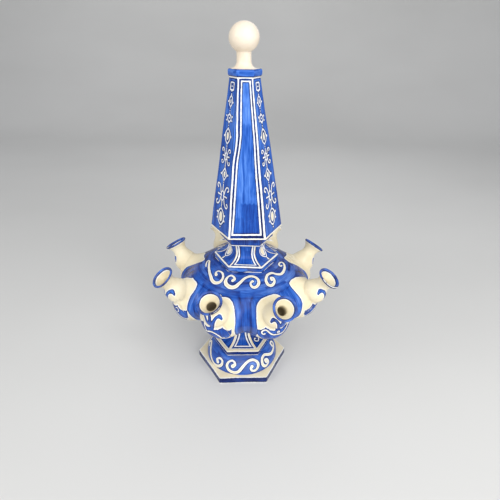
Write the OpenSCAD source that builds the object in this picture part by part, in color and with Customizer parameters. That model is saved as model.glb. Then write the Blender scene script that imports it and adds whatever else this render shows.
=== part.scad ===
// Tulipiere: a hexagonal foot and waist, a round belly with eight upturned
// spouts, a hexagonal neck, and a lift-off hexagonal spire with a ball finial.
// Origin: centre of the base under the belly axis. +Z up, front face to -Y.

/* [Foot] */
// Corner radius of the hexagonal foot plate
foot_r = 77; // [72:0.5:82]
// Thickness of the foot plate
foot_t = 11.3; // [9:0.1:13]
// Radius of the round foot dome on the plate
dome_r = 61; // [57:0.5:63]
// Height of the foot dome
dome_h = 27; // [24:0.5:30]
// Corner radius of the step above the dome, at its top edge
step_r = 52.5; // [51:0.5:54]
// Height of the step
step_h = 12; // [9:0.5:14]

/* [Waist] */
// Corner radius of the waist at its narrowest
waist_r = 25; // [24:0.25:27]
// Height of the waist, from the step to the belly
waist_h = 53; // [48:0.5:58]
// Height of the hollow sweep at the foot of the waist
waist_sweep = 18; // [14:0.5:22]

/* [Belly] */
// Largest radius of the belly
belly_r = 98; // [96.5:0.25:99]
// Height of the belly below its widest line
belly_low = 48; // [47:0.5:49]
// Depth of the rounded part below the widest line, above the conical underside
belly_round = 43.5; // [42:0.5:44]
// Height of the belly above its widest line
belly_high = 49; // [48:0.5:51]
// Wall thickness of the belly
belly_wall = 6.5; // [6:0.25:7]
// Height above the widest line at which bowl and shoulder are joined
belly_seam = 24; // [23:0.5:26]

/* [Spouts] */
// Outer radius of a spout's lip
lip_r = 17.3; // [16.5:0.1:18]
// Radius of the round throat that takes a stem
throat_r = 6.5; // [5.5:0.1:7.5]
// Length of the throat
throat_len = 25; // [22:0.5:26]
// Radius of the hollow behind the throat
root_r = 10; // [8.5:0.5:11]
// Radius of the round hollow inside the boss
boss_hollow = 22; // [20:0.5:23]
// Radius of the hole through the belly wall behind each boss
inlet_r = 16; // [14:0.5:16.5]
// Radius of the rounded boss under a spout
boss_r = 30; // [29.5:0.25:30.5]
// Radius of the broad root where it meets the belly
arm_r = 22.6; // [22:0.2:23]

/* [Neck] */
// Corner radius of the flange under the neck
flange_r = 48.5; // [48:0.25:50]
// Height of the flange
flange_h = 9.5; // [8:0.5:11]
// Corner radius of the neck at its narrowest
neck_r = 27.3; // [26.5:0.1:28.5]
// Height of the neck
neck_h = 29.5; // [27:0.5:32]
// Radius of the filling bore through neck and flange
neck_bore = 18; // [15:0.5:19]
// Corner radius of the collar that carries the spire
collar_r = 39.5; // [38:0.5:41]
// Height of the collar
collar_h = 16; // [15:0.5:18]

/* [Spire] */
// Corner radius of the spire at its foot
spire_r = 52; // [50:0.5:54]
// Corner radius of the spire at its top
spire_top_r = 19; // [18:0.25:19.5]
// Height of the spire
spire_h = 201.5; // [190:0.5:210]
// Wall thickness of the spire
spire_wall = 6; // [5:0.25:7]
// Corner radius of the hexagonal plug under the spire
plug_r = 25.6; // [24.5:0.1:26]
// Length of the plug
plug_len = 12; // [9:0.5:13]
// Play between the plug's corners and the socket's corners
plug_play = 1.4; // [1:0.1:2]
// Clearance between the collar's top and the foot of the spire
seat_play = 0.4; // [0.3:0.05:0.6]
// Corner radius of the cap on the spire
cap_r = 21.3; // [20.8:0.1:21.8]
// Height of the cap
cap_h = 8.5; // [7:0.5:10]

/* [Finial] */
// Radius of the finial's ball, across
ball_r = 18.2; // [17.4:0.2:19]
// Radius of the finial's ball, upright
ball_v = 16.7; // [16.1:0.2:17.5]
// Radius of the finial's stem
stem_r = 9; // [8:0.25:10]
// Height of the stem
stem_h = 18; // [16:0.5:20]

/* [Hand-set offsets] */
// Sideways offset of foot and waist from the belly axis
foot_shift = -5.5; // [-6:0.5:0]
// Turn of foot and waist about the vertical, in degrees
foot_turn = 2.3; // [0:0.1:3]
// Turn of neck and collar about the vertical, in degrees
neck_turn = -2.4; // [-3:0.1:0]
// Turn of the spire about the vertical, in degrees
spire_turn = 1; // [0:0.1:1.5]
// Sideways lean of the spire over its height
spire_lean = -4; // [-5:0.5:0]
// Sideways offset of the finial from the cap
finial_shift = -1.2; // [-1.4:0.1:0]

/* [Hidden] */
$fn = 96;

glaze_blue = [0.16, 0.30, 0.72];
glaze_deep = [0.10, 0.18, 0.50];
glaze_cream = [0.93, 0.88, 0.77];

// Levels, from the base up
z_dome = foot_t;
z_step = z_dome + dome_h;
z_waist = z_step + step_h;
z_belly = z_waist + waist_h;
z_wide = z_belly + belly_low;
z_seam = z_wide + belly_seam;
z_flange = z_wide + belly_high;
z_neck = z_flange + flange_h;
z_collar = z_neck + neck_h;
z_spire = z_collar + collar_h;
z_cap = z_spire + spire_h;
z_stem = z_cap + cap_h;
z_ball = z_stem + stem_h;

// Radius of the flat ring on top of the shoulder and under the belly
top_flat = 42;
low_flat = 34;
// Centre radius of the belly's rounded profile
belly_c = 29;

// Mouth of each spout, set by hand so that no two are quite alike:
// azimuth from the front, reach from the axis, height above the belly's widest
// line, tilt above level, then reach and height of the centre of its boss
spout_set = [[-22.8, 123.5, 49, 60, 87, -2.5], [23, 129.5, 44, 50, 84, -6],
             [66.7, 131, 48, 55, 87.5, -1], [113.8, 125, 47, 54.5, 87, -4],
             [157.5, 127, 48, 54, 87, -4], [-157.5, 127, 48, 54, 87, -4],
             [-112.6, 127, 49.5, 60, 87, -4], [-66, 131.5, 48, 54, 89.5, -6]];

// One ring of a hexagonal loft: corner radius, level, turn and sideways offset
function hex_ring(r, z, turn, dx) =
    [for (k = [0:5]) [dx + r * cos(60 * k + turn), r * sin(60 * k + turn), z]];

// Solid through a list of hexagonal rings, from the lowest to the highest
module hex_loft(rings) {
    n = len(rings);
    polyhedron(
        points = [for (r = rings) each r],
        faces = concat(
            [[for (k = [0:5]) k]],
            [[for (k = [5:-1:0]) (n - 1) * 6 + k]],
            [for (i = [0:n - 2], k = [0:5])
                [i * 6 + k, (i + 1) * 6 + k, (i + 1) * 6 + (k + 1) % 6, i * 6 + (k + 1) % 6]]),
        convexity = 4);
}

// Belly profile above and below its widest line, taken in by w
function belly_up(z, w) =
    let (a = belly_r - belly_c - w,
         b = belly_high / sqrt(1 - pow((top_flat - belly_c) / (belly_r - belly_c), 2)) - w)
    belly_c + a * sqrt(max(0, 1 - pow((z - z_wide) / b, 2)));
// Below, a rounded part runs into a cone that touches it
function belly_down(z, w) =
    let (a = belly_r - belly_c - w, b = belly_round - w,
         p = (low_flat - belly_c) / a, q = (belly_low - w) / b,
         t = asin(1 / norm([p, q])) - atan2(p, q),
         zt = z_wide - b * sin(t), rt = belly_c + a * cos(t), z0 = z_belly + w)
    z > zt
    ? belly_c + a * sqrt(max(0, 1 - pow((z_wide - z) / b, 2)))
    : low_flat + (rt - low_flat) * (z - z0) / (zt - z0);

n_prof = 16;
// Levels between two heights, closer together towards the far one
function levels(z0, z1) = [for (i = [0:n_prof]) z0 + (z1 - z0) * sin(90 * i / n_prof)];

// Outer profile of the bowl, from the base ring up to the seam, and of the
// shoulder from the seam up to the flange
bowl_out = concat(
    [for (i = [n_prof:-1:1]) let (z = levels(z_wide, z_belly)[i]) [belly_down(z, 0), z]],
    [for (i = [0:8]) let (z = z_wide + belly_seam * i / 8) [belly_up(z, 0), z]]);
shoulder_out = [for (z = levels(z_seam, z_flange)) [belly_up(z, 0), z]];

// Everything inside the belly's outer surface
module belly_outer() {
    rotate_extrude()
        polygon(concat(
            [[0, z_belly]], bowl_out,
            [for (i = [1:n_prof]) shoulder_out[i]],
            [[0, z_flange]]));
}

// Moves a piece from the spout's own frame (mouth at zero, +Z out) to its place
module at_spout(i) {
    s = spout_set[i];
    translate([s[1] * sin(s[0]), -s[1] * cos(s[0]), z_wide + s[2]])
        rotate([0, 0, s[0]]) rotate([90 - s[3], 0, 0]) children();
}

// Centre of the rounded boss under a spout, turned to its azimuth
module at_boss(i) {
    rotate([0, 0, spout_set[i][0]]) translate([0, -spout_set[i][4], z_wide + spout_set[i][5]]) children();
}

throat_top = 9;
root_top = throat_top + throat_len;

// Lip, neck and head of a spout, turned about its own axis
module spout_tube() {
    rotate_extrude()
        polygon([[0, 0], [lip_r - 1.2, 0], [lip_r, -1.2], [lip_r, -2.2],
                 [lip_r - 1.8, -4], [12.8, -7.4], [11.2, -11.5], [10.9, -15],
                 [11.8, -19], [14.4, -24], [16.9, -29], [18.1, -34], [18, -38.5],
                 [16.6, -43], [13, -46.5], [0, -46.5]]);
}

// Broad root that runs from the head into the shoulder
module spout_arm(i) {
    s = spout_set[i];
    start = [s[1] - 36 * cos(s[3]), z_wide + s[2] - 36 * sin(s[3])];
    end = [83.5, z_wide + 9.2];
    run = start - end;
    rotate([0, 0, s[0]]) translate([0, -start[0], start[1]])
        rotate([-atan2(run[0], -run[1]), 0, 0]) cylinder(r1 = 15.6, r2 = arm_r, h = norm(run));
}

module spout_hollow() {
    // funnel of the mouth, the throat, and the hollow head
    translate([0, 0, -throat_top]) cylinder(r1 = throat_r, r2 = lip_r - 2.4, h = throat_top);
    cylinder(r = lip_r - 2.4, h = 5);
    translate([0, 0, -root_top - 1]) cylinder(r = throat_r, h = throat_len + 1.5);
    translate([0, 0, -62]) cylinder(r = root_r, h = 62 - root_top);
}

module spout(i) {
    color(glaze_cream)
    difference() {
        union() {
            at_spout(i) spout_tube();
            spout_arm(i);
            at_boss(i) sphere(r = boss_r);
        }
        belly_outer();
        at_spout(i) spout_hollow();
        at_boss(i) sphere(r = boss_hollow);
    }
}

module foot_place() { translate([foot_shift, 0, 0]) rotate([0, 0, foot_turn]) children(); }

module foot_plate() {
    color(glaze_cream)
    foot_place() difference() {
        cylinder(r = foot_r, h = foot_t, $fn = 6);
        // firing vent into the closed hollow of the foot
        translate([20, 0, -1]) cylinder(r = 4, h = foot_t + 2, $fn = 48);
    }
}

module foot_dome() {
    top_r = 43;
    color(glaze_blue)
    foot_place() rotate_extrude()
        polygon(concat(
            [for (i = [0:12]) [top_r + (dome_r - top_r) * cos(7.5 * i), z_dome + dome_h * sin(7.5 * i)]],
            [[20, z_step], [20, z_step - 6]],
            [for (i = [12:-1:0]) [top_r - 7 + (dome_r - top_r) * cos(7.5 * i), z_dome + (dome_h - 6) * sin(7.5 * i)]]));
}

module lower_step() {
    color(glaze_deep)
    foot_place() difference() {
        translate([0, 0, z_step]) cylinder(r1 = step_r - 2.5, r2 = step_r, h = step_h, $fn = 6);
        translate([0, 0, z_step - 1]) cylinder(r = 20, h = step_h + 2);
    }
}

// Waist radius at a height above the step: a hollow sweep, then a slow flare
function waist_at(h) =
    h < waist_sweep
    ? step_r - 0.5 - (step_r - 0.5 - waist_r) * sqrt(1 - pow((waist_sweep - h) / waist_sweep, 2))
    : waist_r + 2 * pow((h - waist_sweep) / (waist_h - waist_sweep), 2);

module lower_waist() {
    hs = concat([for (i = [0:9]) waist_sweep * (1 - cos(10 * i))],
                [for (i = [0:4]) waist_sweep + (waist_h - waist_sweep) * i / 4]);
    color(glaze_blue)
    foot_place() difference() {
        hex_loft([for (h = hs) hex_ring(waist_at(h), z_waist + h, 0, 0)]);
        translate([0, 0, z_waist - 1]) cylinder(r = 14, h = waist_h + 2);
    }
}

module belly_bowl() {
    color(glaze_blue)
    difference() {
        rotate_extrude()
            polygon(concat(
                [[0, z_belly]], bowl_out,
                [for (i = [8:-1:0]) let (z = z_wide + belly_seam * i / 8) [belly_up(z, belly_wall), z]],
                [for (i = [1:n_prof]) let (z = levels(z_wide, z_belly + belly_wall)[i])
                    [belly_down(z, belly_wall), z]],
                [[0, z_belly + belly_wall]]));
        // inlets from the reservoir into the hollow bosses
        for (i = [0:7]) at_boss(i)
            translate([0, 30, 0]) rotate([90, 0, 0]) cylinder(r = inlet_r, h = 45);
    }
}

module shoulder_dome() {
    color(glaze_blue)
    rotate_extrude()
        polygon(concat(
            shoulder_out,
            [[neck_bore, z_flange], [neck_bore, z_flange - belly_wall]],
            [for (i = [n_prof:-1:0]) let (z = levels(z_seam, z_flange - belly_wall)[i])
                [belly_up(z, belly_wall), z]]));
}

module neck_flange() {
    color(glaze_blue)
    rotate([0, 0, neck_turn]) difference() {
        translate([0, 0, z_flange]) cylinder(r = flange_r, h = flange_h, $fn = 6);
        translate([0, 0, z_flange - 1]) cylinder(r = neck_bore, h = flange_h + 2);
    }
}

neck_sweep = 12.5;
// Neck radius at a height above the flange
function neck_at(h) =
    h < neck_sweep
    ? flange_r - 1 - (flange_r - 1 - neck_r) * sqrt(1 - pow((neck_sweep - h) / neck_sweep, 2))
    : neck_r + 3.5 * pow((h - neck_sweep) / (neck_h - neck_sweep), 2);

module neck() {
    hs = concat([for (i = [0:9]) neck_sweep * (1 - cos(10 * i))],
                [for (i = [0:5]) neck_sweep + (neck_h - neck_sweep) * i / 5]);
    color(glaze_blue)
    rotate([0, 0, neck_turn]) difference() {
        hex_loft([for (h = hs) hex_ring(neck_at(h), z_neck + h, 0, 0)]);
        translate([0, 0, z_neck - 1]) cylinder(r = neck_bore, h = neck_h + 2);
    }
}

module neck_collar() {
    color(glaze_deep)
    rotate([0, 0, neck_turn]) difference() {
        translate([0, 0, z_collar]) cylinder(r = collar_r, h = collar_h - seat_play, $fn = 6);
        // socket for the plug, and the bore below it
        translate([0, 0, z_spire - plug_len - 2]) cylinder(r = plug_r + plug_play, h = plug_len + 3, $fn = 6);
        translate([0, 0, z_collar - 1]) cylinder(r = neck_bore, h = collar_h);
    }
}

module spire_plug() {
    color(glaze_cream)
    rotate([0, 0, spire_turn]) difference() {
        translate([0, 0, z_spire - plug_len]) cylinder(r = plug_r, h = plug_len, $fn = 6);
        translate([0, 0, z_spire - plug_len - 1]) cylinder(r = 6, h = plug_len + 2);
    }
}

floor_t = 6;
// Spire radius and lean at a height above its foot
function spire_at(h) = spire_r + (spire_top_r - spire_r) * h / spire_h;
function lean_at(h) = spire_lean * h / spire_h;

module spire_floor() {
    color(glaze_cream)
    difference() {
        hex_loft([for (h = [0, floor_t]) hex_ring(spire_at(h), z_spire + h, spire_turn, lean_at(h))]);
        // firing vent into the closed hollow of the spire
        translate([0, 0, z_spire - 1]) cylinder(r = 6, h = floor_t + 2);
    }
}

module spire_shell() {
    // rings: outer foot, outer top, inner foot, inner top
    top = spire_h - spire_wall;
    in = spire_wall * 1.16;
    pts = concat(
        hex_ring(spire_at(floor_t), z_spire + floor_t, spire_turn, lean_at(floor_t)),
        hex_ring(spire_at(spire_h), z_spire + spire_h, spire_turn, lean_at(spire_h)),
        hex_ring(spire_at(floor_t) - in, z_spire + floor_t, spire_turn, lean_at(floor_t)),
        hex_ring(spire_at(top) - in, z_spire + top, spire_turn, lean_at(top)));
    color(glaze_blue)
    polyhedron(
        points = pts,
        faces = concat(
            [for (k = [0:5]) let (m = (k + 1) % 6) [k, 6 + k, 6 + m, m]],
            [[for (k = [5:-1:0]) 6 + k]],
            [for (k = [0:5]) let (m = (k + 1) % 6) [12 + k, 12 + m, 18 + m, 18 + k]],
            [[for (k = [0:5]) 18 + k]],
            [for (k = [0:5]) let (m = (k + 1) % 6) [k, m, 12 + m, 12 + k]]),
        convexity = 4);
}

module spire_cap() {
    color(glaze_blue)
    hex_loft([for (p = [[0, -1.2], [1.6, -0.3], [cap_h - 1.6, 0], [cap_h, -1.6]])
        hex_ring(cap_r + p[1], z_cap + p[0], spire_turn, spire_lean)]);
}

module finial_stem() {
    flare = 7;
    color(glaze_cream)
    translate([spire_lean + finial_shift, 0, 0]) rotate_extrude()
        polygon(concat(
            [[0, z_stem], [stem_r + flare, z_stem]],
            [for (i = [1:9]) [stem_r + flare * (1 - sin(10 * i)), z_stem + 8 * (1 - cos(10 * i))]],
            [[stem_r, z_ball], [0, z_ball]]));
}

// The ball is a little flattened
module finial_ball() {
    n = 18;
    low = asin(stem_r / ball_r);
    rise = ball_v * cos(low);
    color(glaze_cream)
    translate([spire_lean + finial_shift, 0, z_ball + rise]) rotate_extrude()
        polygon(concat(
            [[0, -rise]],
            [for (i = [0:n]) let (t = low + (180 - low) * i / n) [ball_r * sin(t), -ball_v * cos(t)]]));
}

module spout_front_left() { spout(0); }
module spout_front_right() { spout(1); }
module spout_right() { spout(2); }
module spout_rear_right() { spout(3); }
module spout_back_right() { spout(4); }
module spout_back_left() { spout(5); }
module spout_rear_left() { spout(6); }
module spout_left() { spout(7); }

foot_plate();
foot_dome();
lower_step();
lower_waist();
belly_bowl();
shoulder_dome();
spout_front_left();
spout_front_right();
spout_right();
spout_rear_right();
spout_back_right();
spout_back_left();
spout_rear_left();
spout_left();
neck_flange();
neck();
neck_collar();
spire_plug();
spire_floor();
spire_shell();
spire_cap();
finial_stem();
finial_ball();
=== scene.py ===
import math

import bpy
import numpy as np
from mathutils import Matrix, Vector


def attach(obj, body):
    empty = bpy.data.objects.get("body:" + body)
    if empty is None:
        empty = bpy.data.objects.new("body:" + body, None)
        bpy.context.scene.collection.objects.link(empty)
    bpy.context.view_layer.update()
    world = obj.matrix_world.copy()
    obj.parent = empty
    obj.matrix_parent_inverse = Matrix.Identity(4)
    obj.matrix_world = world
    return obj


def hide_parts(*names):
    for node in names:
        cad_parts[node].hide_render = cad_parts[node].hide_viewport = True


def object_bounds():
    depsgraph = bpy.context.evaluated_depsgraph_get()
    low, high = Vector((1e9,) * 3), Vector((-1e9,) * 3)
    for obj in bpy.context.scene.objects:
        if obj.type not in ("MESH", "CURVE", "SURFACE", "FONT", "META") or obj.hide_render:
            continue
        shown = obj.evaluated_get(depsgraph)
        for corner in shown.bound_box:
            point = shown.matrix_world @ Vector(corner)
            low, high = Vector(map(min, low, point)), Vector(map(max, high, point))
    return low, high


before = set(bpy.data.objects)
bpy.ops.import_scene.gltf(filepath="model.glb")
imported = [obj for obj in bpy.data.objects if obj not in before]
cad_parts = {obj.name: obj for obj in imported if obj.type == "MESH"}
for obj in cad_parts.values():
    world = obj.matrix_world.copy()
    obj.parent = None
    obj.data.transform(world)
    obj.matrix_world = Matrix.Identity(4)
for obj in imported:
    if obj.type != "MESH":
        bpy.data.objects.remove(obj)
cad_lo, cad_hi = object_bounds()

# Lengths below are in millimetres, in the frame of the CAD model; meshes are
# written out in metres. "paint" is the signed distance from a point on the
# surface to the edge of the nearest cream reserve: below zero in the cream,
# above zero in the cobalt blue.

TAU = 2 * math.pi
FAR = 6.0

FOOT_X, FOOT_TURN = -5.5, 2.3
# heights are counted as from a plate of 8 mm; the plate is this much thicker,
# and raises all that stands on it
PLATE_T = 11.3
RAISE = PLATE_T - 8.0
NECK_TURN = -2.4
SPIRE_TURN, SPIRE_LEAN = 1.0, -4.0
Z_SPIRE, SPIRE_H = 252.0, 201.5

# name, azimuth, reach and height of the mouth, tilt, reach and height of the boss, radius of the root
SPOUTS = [
    ("front_left", -22.8, 123.5, 197.0, 60.0, 87.0, 145.5, 15.6),
    ("front_right", 23.0, 129.5, 192.0, 50.0, 84.0, 142.0, 14.0),
    ("right", 66.7, 131.0, 196.0, 55.0, 87.5, 147.0, 13.5),
    ("rear_right", 113.8, 125.0, 195.0, 54.5, 87.0, 144.0, 13.5),
    ("back_right", 157.5, 127.0, 196.0, 54.0, 87.0, 144.0, 15.0),
    ("back_left", -157.5, 127.0, 196.0, 54.0, 87.0, 144.0, 15.0),
    ("rear_left", -112.6, 127.0, 197.5, 60.0, 87.0, 144.0, 14.5),
    ("left", -66.0, 131.5, 196.0, 54.0, 89.5, 142.0, 15.8),
]
BOSS_R = 30.0


# ---------------------------------------------------------------- small tools

def smooth(a, b, x):
    t = np.clip((x - a) / (b - a), 0.0, 1.0)
    return t * t * (3 - 2 * t)


def ripple(P, seed, size, n=12):
    """Smooth random field over the points P, about -1 to 1, with marks of the given size."""
    rng = np.random.RandomState(seed)
    out = np.zeros(P.shape[0])
    for _ in range(n):
        k = rng.normal(size=P.shape[1])
        k *= TAU / size * (0.5 + rng.rand()) / np.linalg.norm(k)
        out += np.sin(P @ k + rng.rand() * TAU)
    return out / math.sqrt(2.0 * n)


def spline(pts, per=7):
    """Smooth curve through the rows of pts, whatever their columns hold."""
    p = np.asarray(pts, float)
    q = np.vstack([2 * p[0] - p[1], p, 2 * p[-1] - p[-2]])
    t = (np.arange(per) / per)[:, None]
    out = []
    for i in range(1, len(q) - 2):
        a, b, c, d = q[i - 1], q[i], q[i + 1], q[i + 2]
        out.append(0.5 * (2 * b + (c - a) * t + (2 * a - 5 * b + 4 * c - d) * t ** 2
                          + (3 * b - a - 3 * c + d) * t ** 3))
    out.append(p[-1:])
    return np.vstack(out)


def brush(X, Y, pts, reach=FAR):
    """Signed distance to a brush line through (x, y, half width) points."""
    pts = np.asarray(pts, float)
    out = np.full(X.shape, reach)
    pad = pts[:, 2].max() + reach
    lo, hi = pts[:, :2].min(0) - pad, pts[:, :2].max(0) + pad
    m = (X > lo[0]) & (X < hi[0]) & (Y > lo[1]) & (Y < hi[1])
    if not m.any():
        return out
    x, y = X[m], Y[m]
    best = np.full(x.shape, reach)
    for a, b in zip(pts[:-1], pts[1:]):
        dx, dy = b[0] - a[0], b[1] - a[1]
        t = np.clip(((x - a[0]) * dx + (y - a[1]) * dy) / (dx * dx + dy * dy + 1e-9), 0, 1)
        d = np.hypot(x - a[0] - t * dx, y - a[1] - t * dy) - (a[2] + t * (b[2] - a[2]))
        np.minimum(best, d, out=best)
    out[m] = best
    return out


def dot(X, Y, x, y, r):
    return np.hypot(X - x, Y - y) - r


def oval(X, Y, x, y, rx, ry):
    px, py = X - x, Y - y
    k0 = np.hypot(px / rx, py / ry)
    k1 = np.hypot(px / rx ** 2, py / ry ** 2) + 1e-9
    return k0 * (k0 - 1) / k1


def almond(X, Y, x, y, a, b):
    """Upright pointed oval of half width a and half height b."""
    r = (a * a + b * b) / (2 * a)
    px, py = np.abs(X - x), Y - y
    return np.hypot(px + r - a, py) - r


def lozenge(X, Y, x, y, a, b):
    return (np.abs(X - x) / a + np.abs(Y - y) / b - 1) * a * b / math.hypot(a, b)


def plate(X, Y, x, y, a, b, c):
    """Upright rectangle with rounded corners."""
    qx, qy = np.abs(X - x) - a + c, np.abs(Y - y) - b + c
    return np.hypot(np.maximum(qx, 0), np.maximum(qy, 0)) + np.minimum(np.maximum(qx, qy), 0) - c


def line_of(d, half):
    return np.abs(d) - half


def lanes(X, Y, seed, lane, run, soft=0.9):
    """Side by side brush strokes along Y, each broken off and taken up again; about -1 to 1."""
    rng = np.random.RandomState(seed)
    table = rng.rand(64, 64) * 2 - 1
    shift = rng.rand(64) * run
    wide = rng.rand(64) * 0.5

    def along(i):
        i = np.mod(i, 64)
        v = (Y + shift[i]) / run + 400
        j = np.floor(v).astype(int)
        f = v - j
        k = smooth(1 - soft / run * 1.6, 1, f)
        return table[i, np.mod(j, 64)] * (1 - k) + table[i, np.mod(j + 1, 64)] * k

    v = X / lane + 400 + 0.18 * np.sin(Y / run * 2.3)
    i = np.floor(v).astype(int)
    f = v - i - wide[np.mod(i, 64)] * 0.3
    k = smooth(1 - soft / lane * 2, 1, f)
    return along(i) * (1 - k) + along(i + 1) * k


def strokes(X, Y, spec):
    """Sum of single strokes: x0, x1, y0, y1, change of tone, softness across, softness along."""
    t = np.zeros(X.shape)
    for x0, x1, y0, y1, dv, sx, sy in spec:
        t += dv * (smooth(x0 - sx, x0 + sx, X) * (1 - smooth(x1 - sx, x1 + sx, X))
                   * smooth(y0 - sy, y0 + sy, Y) * (1 - smooth(y1 - sy, y1 + sy, Y)))
    return t


def profile(pts):
    """Rows (r, z) through corner points (r, z, fillet, step of the run that follows)."""
    p = [np.array(q[:2], float) for q in pts]
    out = []
    n = len(pts)
    ends = []
    for i, q in enumerate(pts):
        f = q[2]
        if f <= 0 or i in (0, n - 1):
            ends.append((p[i], p[i], None))
            continue
        u, v = p[i - 1] - p[i], p[i + 1] - p[i]
        lu, lv = np.linalg.norm(u), np.linalg.norm(v)
        c = min(f, 0.49 * lu, 0.49 * lv)
        a, b = p[i] + u / lu * c, p[i] + v / lv * c
        t = np.linspace(0, 1, 6)[:, None]
        ends.append((a, b, a * (1 - t) ** 2 + 2 * p[i] * t * (1 - t) + b * t ** 2))
    for i in range(n):
        a, b, arc = ends[i]
        out.extend(arc if arc is not None else [a])
        if i < n - 1:
            c = ends[i + 1][0]
            m = max(1, int(round(np.linalg.norm(c - b) / pts[i][3])))
            out.extend(b + (c - b) * j / m for j in range(1, m))
    rows = [out[0]]
    for q in out[1:]:
        if np.linalg.norm(q - rows[-1]) > 1e-4:
            rows.append(q)
    return np.array(rows)


def arc_length(rows):
    d = np.hypot(np.diff(rows[:, 0]), np.diff(rows[:, 1]))
    return np.concatenate([[0], np.cumsum(d)])


def evenly(rows, step):
    """The same line taken at an even step."""
    l = arc_length(rows)
    n = max(2, int(round(l[-1] / step)) + 1)
    t = np.linspace(0, l[-1], n)
    return np.stack([np.interp(t, l, rows[:, 0]), np.interp(t, l, rows[:, 1])], 1)


# ------------------------------------------------------------------ surfaces

def warp(P):
    """The slight unevenness of hand-built earthenware, the same for pieces that touch."""
    d = np.stack([0.42 * ripple(P, 11, 75), 0.42 * ripple(P, 12, 75), 0.25 * ripple(P, 13, 80)], 1)
    d[:, :2] += 0.10 * np.stack([ripple(P, 14, 19), ripple(P, 15, 19)], 1)
    Q = P + d
    lo = np.array(cad_lo) * 1000 + 0.03
    hi = np.array(cad_hi) * 1000 - 0.03
    return np.clip(Q, lo, hi)


def hexagon(rows, turn, dx=0.0, rho=1.6, n_flat=40, n_arc=4, hexness=None, lean=None):
    """Surface of hexagonal rings with softened arrises. Returns the grid of points and,
    per point, the face, the place across it, the way to its arris and half its width."""
    R, z = rows[:, 0][:, None], rows[:, 1][:, None]
    beta, u, face = [], [], []
    for k in range(6):
        for i in range(n_arc):
            beta.append(-math.pi / 6 * (1 - i / n_arc)); u.append(-1.0); face.append(k)
        for i in range(n_flat + 1):
            beta.append(0.0); u.append(-1 + 2 * i / n_flat); face.append(k)
        for i in range(1, n_arc):
            beta.append(math.pi / 6 * i / n_arc); u.append(1.0); face.append(k)
    beta, u, face = np.array(beta)[None], np.array(u)[None], np.array(face)[None]
    rr = np.minimum(rho, 0.45 * R)
    w = R / 2
    tl = rr * math.tan(math.pi / 6)
    a = R * math.sqrt(3) / 2
    nn = a - rr + rr * np.cos(beta)
    tt = u * (w - tl) + rr * np.sin(beta)
    s = u * (w - tl) + rr * beta
    W = (w - tl) + rr * math.pi / 6 + 0 * s
    e = W - np.abs(s)
    ang = np.radians(-90 + 60 * face + turn)
    x = nn * np.cos(ang) - tt * np.sin(ang)
    y = nn * np.sin(ang) + tt * np.cos(ang)
    if hexness is not None:
        hx = np.asarray(hexness, float)[:, None]
        th = np.arctan2(y, x)
        x = hx * x + (1 - hx) * R * np.cos(th)
        y = hx * y + (1 - hx) * R * np.sin(th)
    shift = dx if lean is None else dx + lean[:, None]
    P = np.stack([x + shift, y, z + 0 * x], 2)
    return P, dict(face=np.broadcast_to(face, s.shape), s=s, e=e, W=W,
                   R=R + 0 * s, z=z + 0 * s)


def turned(rows, n, dx=0.0):
    th = np.radians(-90) + TAU * np.arange(n)[None] / n
    r, z = rows[:, 0][:, None], rows[:, 1][:, None]
    P = np.stack([dx + r * np.cos(th), r * np.sin(th), z + 0 * th], 2)
    az = np.degrees(th + math.pi / 2)
    return P, dict(az=np.broadcast_to(np.where(az > 180, az - 360, az), P.shape[:2]),
                   R=r + 0 * th, z=z + 0 * th)


def add_piece(name, P, body, nodes, mat, paint, tone, st, clay_and_shade=None, ring=False, raised=RAISE, wide=0.0):
    """Makes a closed skin from a grid of points that wraps round in its second index."""
    nv, nu = P.shape[:2]
    V = warp(P.reshape(-1, 3) + [0.0, 0.0, raised])
    i, j = np.meshgrid(np.arange(nv if ring else nv - 1), np.arange(nu), indexing="ij")
    i2, j2 = (i + 1) % nv, (j + 1) % nu
    Q = np.stack([i * nu + j, i * nu + j2, i2 * nu + j2, i2 * nu + j], -1).reshape(-1, 4)
    a, b, c, d = (V[Q[:, k]] for k in range(4))
    vol = np.einsum("ij,ij->", a, np.cross(b, c)) + np.einsum("ij,ij->", a, np.cross(c, d))
    if vol < 0:
        Q = Q[:, ::-1]
    faces = Q.tolist()
    if not ring:
        first, last = list(range(nu)), list(range((nv - 1) * nu, nv * nu))
        if vol < 0:
            faces += [first, last[::-1]]
        else:
            faces += [first[::-1], last]
    me = bpy.data.meshes.new(name)
    me.from_pydata((V * 0.001).tolist(), [], faces)
    me.polygons.foreach_set("use_smooth", np.ones(len(me.polygons), bool))
    for key, data in (("paint", paint), ("tone", tone), ("clay_and_shade", np.zeros(nv * nu) if clay_and_shade is None else clay_and_shade),
                      ("wide", np.broadcast_to(wide, (nv, nu)))):
        at = me.attributes.new(key, "FLOAT", "POINT")
        at.data.foreach_set("value", np.ascontiguousarray(np.broadcast_to(data, (nv, nu)) if np.ndim(data) == 2 else data, np.float32).ravel())
    at = me.attributes.new("st", "FLOAT_VECTOR", "POINT")
    thin = np.broadcast_to(st[2] if len(st) > 2 else 0.0, (nv, nu))
    vec = np.stack([np.asarray(st[0], float).ravel(), np.asarray(st[1], float).ravel(), thin.ravel()], 1)
    at.data.foreach_set("vector", np.ascontiguousarray(vec, np.float32).ravel())
    me.materials.append(mat)
    me.update()
    ob = bpy.data.objects.new(name, me)
    bpy.context.scene.collection.objects.link(ob)
    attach(ob, body)
    if nodes:
        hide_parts(*nodes)
    return ob


# ------------------------------------------------------------------ materials

def node(nt, kind, **values):
    n = nt.nodes.new(kind)
    for k, v in values.items():
        setattr(n, k, v)
    return n


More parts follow.
